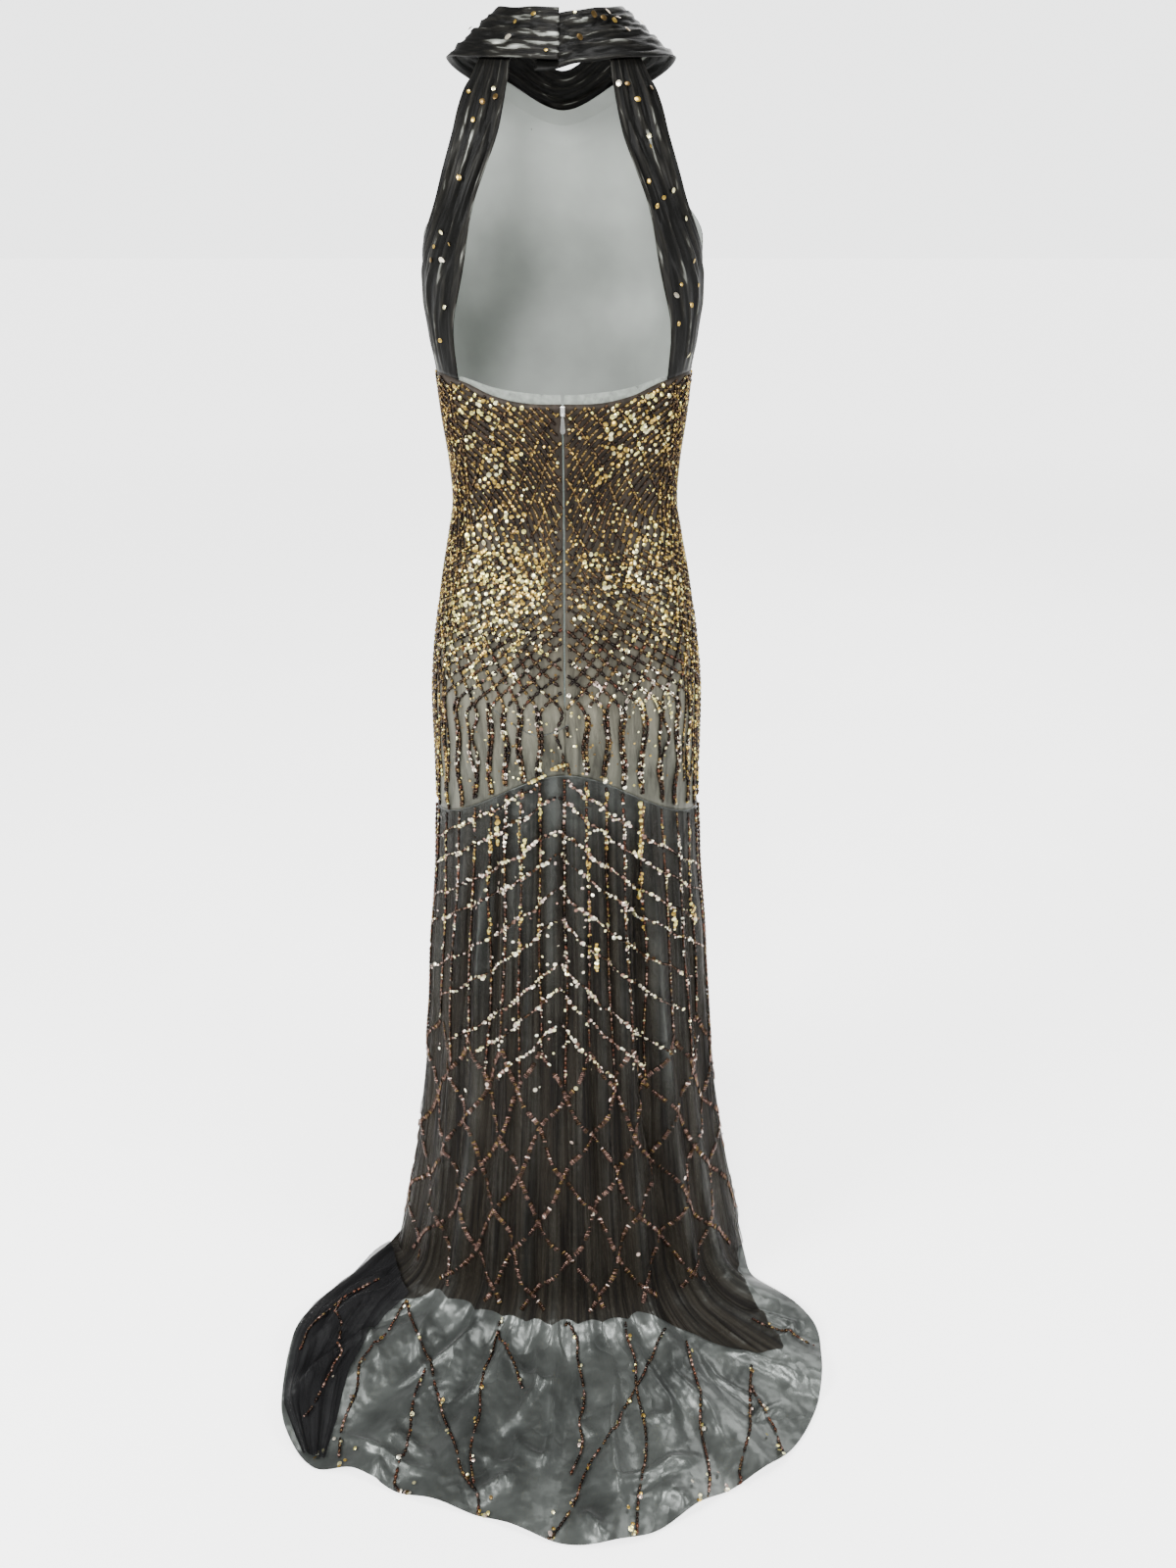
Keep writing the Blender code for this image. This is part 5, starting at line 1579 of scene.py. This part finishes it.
SKIRT_PALETTE = (("brown", 5), ("red", 4), ("dark", 4), ("copper", 2), ("bronze", 1))
ROOF_PALETTE = (("brown", 4), ("dark", 3), ("copper", 2), ("rose", 1.5), ("pale", 1))
KNEE_PALETTE = (("copper", 3.5), ("rosewood", 6), ("brown", 5), ("rose", 0.5), ("bronze", 1.5))
KNEE = 0.4275
WIDE_DIAMOND = 0.125
skirt_batches = {"back": [], "front": []}


print("roof-shaped rows:", len(ROOFS), "and strings on the train:", len(TRAIN_STRINGS))


# %% Laying strings on the skirt
def skirt_string(lay, direction, fall, *settings, lift=0.0):
    """Lays a string of beads or of bars on the skirt, from matching rows of direction and fall."""
    side = "back" if np.mean(direction) < 90 else "front"
    places = on_skirt(direction, fall, lift)
    skirt_batches[side] += lay(places, skirt_outward(direction, fall), *settings)


def both_sides(direction):
    """The same direction on the back and, mirrored, on the front."""
    return direction, 180 - direction


def upright_strings():
    """The number and direction of each upright string, and its seam's height."""
    for number in range(-9, 10):
        for direction in both_sides(float(string_direction(number))):
            yield number, direction, float(seam_height(direction))


def swayed(direction, fall, number):
    """An upright string's directions: it sways a little on the way down."""
    return direction + 0.8 * np.sin(fall * 21 + number * 1.7) * ease((fall[0] - fall) / 0.1)


def roof_rows():
    """The directions and heights along each half of every roof-shaped row, back and front, with
    the directions as they are on the back."""
    for centre, left_slope, right_slope, reach in ROOFS:
        degrees = np.arange(0.4, reach, 1.0)
        for side, slope in ((1, left_slope), (-1, right_slope)):
            height = centre - slope * degrees - 0.000003 * degrees**2
            height = height + 0.002 * np.sin(degrees * 0.35 + centre * 40)
            direction = ROOF_APEX + side * degrees
            for turned in both_sides(direction):
                yield turned, height, direction


for number, direction, seam in upright_strings():
    fall = np.arange(seam - 0.002, KNEE if number % 2 else KNEE - WIDE_DIAMOND / 2, -0.006)
    skirt_string(bead_string, swayed(direction, fall, number), fall, SKIRT_PALETTE, 1.12, 0.95)

for turned, height, _ in roof_rows():
    inside = np.flatnonzero(height < seam_height(turned) - 0.003)
    if len(inside) > 3:
        skirt_string(bead_string, turned[inside], height[inside], ROOF_PALETTE, 0.9, 0.9)
print("batches of skirt beads so far:", {side: len(made) for side, made in skirt_batches.items()})

# %% Wide diamonds below the knee, and the train's strings
fall = np.arange(KNEE, 0.03, -0.006)
step = (KNEE - fall) / WIDE_DIAMOND
for family, number in ((f, n) for f in (1, -1) for n in range(-6, 7)):
    wobble = 0.09 * np.sin(step * 5.3 + number * 2.4 + family) * ease(step / 0.4)
    direction = string_direction(2.0 * (number - family * (step + wobble)) + 1.0)
    for turned in both_sides(direction):
        for first, last in runs_of(np.abs(direction) < 88):
            if last - first >= 6:
                part = slice(first, last)
                skirt_string(bar_string, turned[part], fall[part], KNEE_PALETTE, 0.75)

for path in TRAIN_STRINGS:
    direction, reach, knots = along_knots(path, 16 * len(path))
    direction = direction + 0.5 * np.sin(knots * 4.1)
    fall = np.array([fall_at_reach(*at) for at in zip(direction, reach)])
    lift = FLAP_LIFT if path[0][0] > 60 else 0.0
    skirt_string(bead_string, direction, fall, SKIRT_PALETTE, 1.15, 0.95, lift=lift)

for side, batches in skirt_batches.items():
    finish_piece(join_copies("beads_skirt_" + side, batches), "beaded_net", [], glass_bead)

# %% [markdown]
# ## Sequins
# Round cup sequins, 2 to 6 mm across, are sewn in drifts over the strings. Each is stamped from
# metallised film, so it is a shallow cone that mirrors a single patch of the room: some flash
# white, the rest look gold. A drift is a place, a spread and a count. Larger lone sequins are
# placed one by one.

# %% Sequin material and shape
sequin_film = make_tinted("metallised polyester sequins", 240.0, 0.85, 1.1, 0.9, 0.3)
SEQUIN = make_cone(9, 0.0027, 0.0, 0.0007, capped=False)
SEQUIN_LIFT = 0.0024  # off the cloth, on top of the beads
print("sequin faces:", len(SEQUIN[1]))

# %% Drifts of sequins
GOLD = (("bronze", 1), ("gold", 4), ("yellow", 4), ("pale", 3))
WHITE = (("white", 5), ("rose", 2), ("pale", 2))
CHAMPAGNE = (("white", 4), ("rose", 2), ("pale", 3), ("copper", 1.5), ("brown", 1))
GLINTS = (("bronze", 4), ("gold", 4), ("yellow", 2), ("pale", 2))
DRIFTS = (
    # direction, height, spread in degrees, spread in metres, count, palette
    (43, 1.186, 18, 0.014, 25, GOLD), (43, 1.152, 17, 0.025, 24, GOLD), (44, 1.112, 13, 0.015, 24, GOLD),
    (42, 1.072, 14, 0.012, 16, GOLD), (47, 1.044, 17, 0.012, 30, GOLD), (36, 1.018, 24, 0.016, 66, GOLD),
    (40, 0.993, 23, 0.014, 66, GOLD), (49, 0.965, 23, 0.016, 66, GOLD), (22, 0.985, 11, 0.016, 28, GOLD),
    (47, 0.94, 20, 0.018, 60, GOLD), (20, 0.94, 10, 0.012, 18, GOLD), (50, 0.905, 16, 0.018, 36, GOLD),
    (-46, 1.188, 15, 0.012, 18, GOLD), (-40, 1.162, 15, 0.015, 18, GOLD), (-56, 1.15, 9, 0.02, 18, GOLD),
    (-42, 1.13, 9, 0.008, 14, GOLD), (-28, 1.109, 6, 0.008, 5, GOLD), (-52, 1.051, 9, 0.012, 12, GOLD),
    (-29, 1.019, 18, 0.012, 18, GOLD), (-54, 1.03, 14, 0.016, 22, GOLD),
    (-39, 0.998, 14, 0.01, 24, GOLD), (-61, 0.986, 11, 0.021, 30, GOLD), (-20, 0.97, 14, 0.008, 9, GOLD),
    (-27, 0.939, 13, 0.012, 11, GOLD), (-57, 0.946, 12, 0.02, 26, GOLD),
    (-38, 0.901, 10, 0.011, 11, WHITE), (-42, 0.872, 16, 0.015, 30, WHITE),
    (-58, 0.827, 9, 0.022, 16, WHITE), (1, 0.797, 13, 0.004, 9, WHITE), (33, 0.852, 20, 0.016, 8, WHITE),
    (0, 0.825, 66, 0.04, 52, CHAMPAGNE), (0, 0.89, 60, 0.03, 30, CHAMPAGNE),
    (-12, 0.895, 15, 0.021, 6, WHITE), (-42, 0.79, 21, 0.018, 16, WHITE),
    (40, 0.8, 23, 0.015, 14, WHITE),
)
DEGREE_WIDTH = 0.0022  # metres along the bodice for each degree round it, on average
APART = 0.0036  # the least distance between two sequins of a drift
BACK_MORE, FRONT_FEWER = 2.1, 0.9  # the front carries the same drifts, a little thinner
THREADED = 2000  # small sequins that thread the whole bodice, thinly
sequins = []


print("drifts:", len(DRIFTS))


# %% Helpers that sew the sequins on
def sew(direction, height, size, tints, on_the_skirt=False):
    """Sequins on the cloth, each tilted a little in its own way."""
    if on_the_skirt:
        places, outs = on_skirt(direction, height), skirt_outward(direction, height)
    else:
        places, outs = figure_spot(height, direction), figure_normals(height, direction)
    tilted = outs + choose.normal(0, 0.26, outs.shape)
    spin = np.cross(tilted, choose.normal(0, 1, outs.shape))
    sequins.append(copies_of(SEQUIN, places + outs * SEQUIN_LIFT, tilted, spin, size, tints))


def clear_of_edges(direction, height):
    """True where a sequin's place is on the bodice, off its edges and off the zip."""
    on_back = np.abs(direction) < 90
    top = np.where(on_back, back_top(direction), 1.43)
    clear_zip = (np.abs(direction) > 2.0) | ~on_back
    return (height < top - 0.003) & (height > seam_height(direction) + 0.003) & clear_zip


def on_a_string(direction, height, front):
    """Each place moved to the nearest string, give or take a little."""
    spots = np.concatenate([np.stack(part) for part in string_spots[front]], axis=1)
    away = ((direction[:, None] - spots[0]) * DEGREE_WIDTH) ** 2 + (height[:, None] - spots[1]) ** 2
    nearest = away.argmin(axis=1)
    slip = choose.normal(0, 0.2, len(nearest))
    return spots[0][nearest] + slip, spots[1][nearest] + slip * 0.002


def spaced(direction, height):
    """True for each place that keeps clear of those before it."""
    flat = np.stack([direction * DEGREE_WIDTH, height], axis=1)
    gaps = np.linalg.norm(flat[:, None] - flat[None], axis=2)
    keep = np.ones(len(flat), bool)
    for k in range(1, len(flat)):
        keep[k] = not np.any((gaps[k, :k] < APART) & keep[:k])
    return keep


print("a sequin's size, mm:", round(SEQUIN[0][:, 0].max() * 2000, 1))

# %% Sewing the drifts
for direction, height, wide, tall, count, palette in DRIFTS:
    for front in (False, True):
        number = int(count * (FRONT_FEWER if front else BACK_MORE))
        d = direction + choose.uniform(-1, 1, number) * wide
        h = height + choose.uniform(-1, 1, number) * tall
        d, h = on_a_string(180 - d if front else d, h, front)
        fit = clear_of_edges(d, h) & spaced(d, h)
        d, h = d[fit], h[fit]
        size = choose.triangular(0.45, 0.75, 1.15, len(d)) * (0.8 if palette is CHAMPAGNE else 1.0)
        sew(d, h, size, pick_tints(palette, len(d)))
d, h = choose.uniform(-88, 268, THREADED), choose.uniform(0.76, 1.40, THREADED)
edge = smooth(ARMHOLE, h, 1)
fit = clear_of_edges(d, h) & ((d < 90) | (d > edge + 2) & (d < 358 - edge))
d, h = d[fit], h[fit]
sew(d, h, choose.uniform(0.3, 0.62, len(d)), pick_tints(GLINTS, len(d)))
print("sequins on the bodice:", sum(len(batch[0]) for batch in sequins))

# %% Lone sequins and rows of them on the skirt
SKIRT_SEQUINS = (
    # direction, height
    (8.6, 0.412), (-4.2, 0.378), (-19.1, 0.359), (47.6, 0.347), (38.8, 0.366), (15.9, 0.373),
    (59.9, 0.305), (-61, 0.259), (-2, 0.294), (-49.7, 0.207), (-10.6, 0.184), (-31.5, 0.171),
    (-28.4, 0.115),
)


def sew_on_skirt(direction, fall, size, palette):
    sew(np.array(direction), np.array(fall), size, pick_tints(palette, len(direction)), True)


def sequin_row(direction, fall, pitch, size, palette, keep, stray=0.0006):
    """Sequins strung closely along a path on the skirt, in broken runs."""
    length = path_length(on_skirt(direction, fall))
    at = broken_runs(np.arange(pitch, length[-1], pitch), ((0.28, 120), (0.22, 290)), keep, 0.9)
    d = np.interp(at, length, direction) + choose.normal(0, 0.25, len(at))
    v = np.interp(at, length, fall) + choose.normal(0, stray, len(at))
    if len(at):
        sew_on_skirt(d, v, size * choose.uniform(0.6, 1.4, len(at)), palette)


for d, h in SKIRT_SEQUINS:
    sew_on_skirt(both_sides(d), (h, h), (1.0, 0.9), WHITE)
for turned, height, direction in roof_rows():
    below_seam = height < seam_height(turned) - 0.004
    away = np.abs(direction)
    for part, keep in ((below_seam & (away < 45), 0.72), (below_seam & (away >= 44), 0.40)):
        if part.sum() > 3:
            sequin_row(turned[part], height[part], 0.0036, 0.74, CHAMPAGNE, keep, 0.0015)
for number, direction, seam in upright_strings():
    fall = np.arange(seam - 0.006, 0.37, -0.004)
    d, high = swayed(direction, fall, number), fall > 0.56
    sequin_row(d[high], fall[high], 0.0040, 0.66, GOLD if number % 3 else WHITE, 0.55)
    sequin_row(d[~high], fall[~high], 0.0044, 0.55, WHITE, 0.25)
print("batches of sequins so far:", len(sequins))

# %% Bright ends, bars and runs
HEM_DROPS = (
    # direction and reach of the bright drops that end the train's strings
    (38.8, 0.484), (34.5, 0.48), (23.5, 0.478), (11.6, 0.466), (2, 0.474), (-9.1, 0.478), (-19.6, 0.468),
    (-24.4, 0.464), (-34.8, 0.456),
)
GOLD_BARS = (
    # direction and height of both ends of short rows of gold sequins at the hips
    ((54.6, 0.924), (45.3, 0.936)), ((47.6, 0.912), (42.6, 0.927)), ((52.9, 0.9), (48, 0.91)),
    ((-37.7, 0.877), (-40, 0.865)), ((-44.8, 0.878), (-48.1, 0.859)), ((-52.8, 0.876), (-54.5, 0.848)),
    ((31, 0.913), (27, 0.903)), ((7.3, 0.8), (0.9, 0.806)), ((19.4, 0.782), (11, 0.792)),
)
BRIGHT_RUNS = (
    # direction, height of both ends of upright runs of bright sequins
    (-39, 0.754, 0.68), (-39, 0.656, 0.626), (-54.5, 0.606, 0.568), (-68.5, 0.588, 0.558),
    (-11.3, 0.704, 0.674), (21.5, 0.716, 0.682), (35.5, 0.738, 0.702), (-15.5, 0.582, 0.538),
)
STREWN = 170  # lone small sequins between the rows
for d, reach in HEM_DROPS:
    v = [fall_at_reach(d, reach - step) for step in (0.0, 0.006, 0.012, 0.030)]
    sew_on_skirt((d, d + 0.2, d - 0.2, d), v, (0.9, 1.1, 0.9, 0.8), GOLD + WHITE)
for ends in GOLD_BARS:
    d, h = np.linspace(*ends, 7).T
    sew(d, h, choose.uniform(0.6, 0.9, 7), pick_tints(GOLD, 7))
for direction, high, low in BRIGHT_RUNS:
    v = np.arange(high, low, -0.002)
    for turned in both_sides(direction):
        sequin_row(np.full(len(v), turned), v, 0.0036, 0.85, GOLD, 1.1, 0.0004)
d, v = ROOF_APEX + choose.normal(0, 24, STREWN), choose.uniform(0.42, 0.76, STREWN)
d = np.where(np.arange(STREWN) % 2, d, 180 - d)
sew_on_skirt(d, np.minimum(v, seam_height(d) - 0.01), choose.uniform(0.4, 0.85, STREWN), CHAMPAGNE)
for path in TRAIN_STRINGS:
    d, reach, _ = along_knots(path, 12 * len(path))
    v = np.array([fall_at_reach(*at) for at in zip(d, reach)])
    sequin_row(d, v, 0.0046, 0.75, GOLD + WHITE, 0.22)
print("batches of sequins so far:", len(sequins))

# %% Sequins on the straps and the neckband
STRAP_SEQUINS = (
    # direction, below 0 on the right, height, size, tint
    (38.5, 1.442, 1, "bronze"), (43.9, 1.438, 1, "bronze"), (40.2, 1.448, 0.7, "pale"),
    (51.2, 1.446, 0.7, "gold"), (46.3, 1.424, 0.8, "gold"), (48.9, 1.378, 0.9, "gold"),
    (58.9, 1.333, 0.8, "pale"), (64, 1.321, 0.7, "gold"), (55.7, 1.323, 0.7, "gold"),
    (60.3, 1.309, 1.2, "white"), (67.3, 1.309, 0.9, "bronze"), (60.1, 1.268, 0.8, "pale"),
    (65.2, 1.237, 0.8, "gold"), (-36.9, 1.452, 1, "white"), (-41.5, 1.452, 0.9, "bronze"),
    (-52, 1.449, 0.9, "bronze"), (-44.3, 1.44, 1.1, "gold"), (-45.6, 1.411, 0.8, "pale"),
    (-45.7, 1.403, 0.7, "gold"), (-43.6, 1.375, 0.8, "gold"), (-53.7, 1.368, 0.8, "pale"),
    (-49.8, 1.362, 0.7, "gold"), (-47.2, 1.355, 0.8, "gold"), (-60.4, 1.345, 0.8, "pale"),
    (-68.2, 1.308, 0.8, "gold"), (-72.5, 1.286, 0.7, "gold"), (-60.6, 1.288, 0.7, "gold"),
    (-58.1, 1.279, 1.2, "white"), (-67.3, 1.269, 0.9, "gold"), (-60.3, 1.253, 0.8, "gold"),
    (-70.4, 1.222, 1.1, "yellow"),
)
NECK_SEQUINS = (
    # direction, share of the way up the band, size, tint
    (-31, 0.8, 1.2, "bronze"), (-38, 0.72, 1.1, "bronze"), (-45, 0.84, 1.1, "bronze"),
    (-46, 0.66, 1, "gold"), (-51, 0.72, 1, "bronze"), (-52, 0.48, 1, "bronze"),
    (-15, 0.38, 1.1, "bronze"), (-14, 0.86, 0.6, "pale"), (37, 0.34, 1.2, "white"),
    (24, 0.82, 0.9, "gold"), (37, 0.64, 0.7, "gold"), (9, 0.14, 0.7, "gold"), (80, 0.5, 1, "gold"),
    (104, 0.3, 1, "bronze"), (128, 0.6, 1.1, "gold"), (150, 0.4, 1, "white"), (172, 0.7, 0.9, "bronze"),
    (195, 0.35, 1, "gold"), (219, 0.6, 1.1, "bronze"), (244, 0.45, 1, "pale"), (268, 0.7, 1, "gold"),
)
for d, h, size, tint in STRAP_SEQUINS:
    sew(np.array([d]), np.array([h]), size, [tint_of[tint]])
for d, rise, size, tint in NECK_SEQUINS:
    at = np.array([float(d)])
    lift = 0.0048 if abs(d) < 60 else 0.0040
    here = collar_spot(at, rise, lift)
    out = collar_spot(at, rise, lift + 0.001) - here
    tilted = out * 1000 + choose.normal(0, 0.12, (1, 3))
    sequins.append(copies_of(SEQUIN, here, tilted, np.array([[0.3, 0.2, 1.0]]), size, [tint_of[tint]]))
finish_piece(join_copies("sequins", sequins), "beaded_net", [], sequin_film)

# %% [markdown]
# ## Metal of the zip
# The slider and its pull keep their solid shapes, because metal is rigid. They are cast in a zinc
# alloy and plated with nickel, which gives a warm grey mirror with fine wear.

# %% Plated metal
casting = Recipe("nickel-plated zinc casting")
wear = casting.grain(casting.place(), 900.0, 3.0)
plated = casting.finish({
    "Base Color": casting.ramp(wear, (0.3, "#c9c8c2"), (0.7, "#f2f2ef")), "Metallic": 1.0,
    "Roughness": casting.span(wear, 0.0, 1.0, 0.16, 0.3),
})
for node in ("zip_slider", "zip_pull"):
    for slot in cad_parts[node].material_slots:
        slot.material = plated
print("plated:", plated.name)
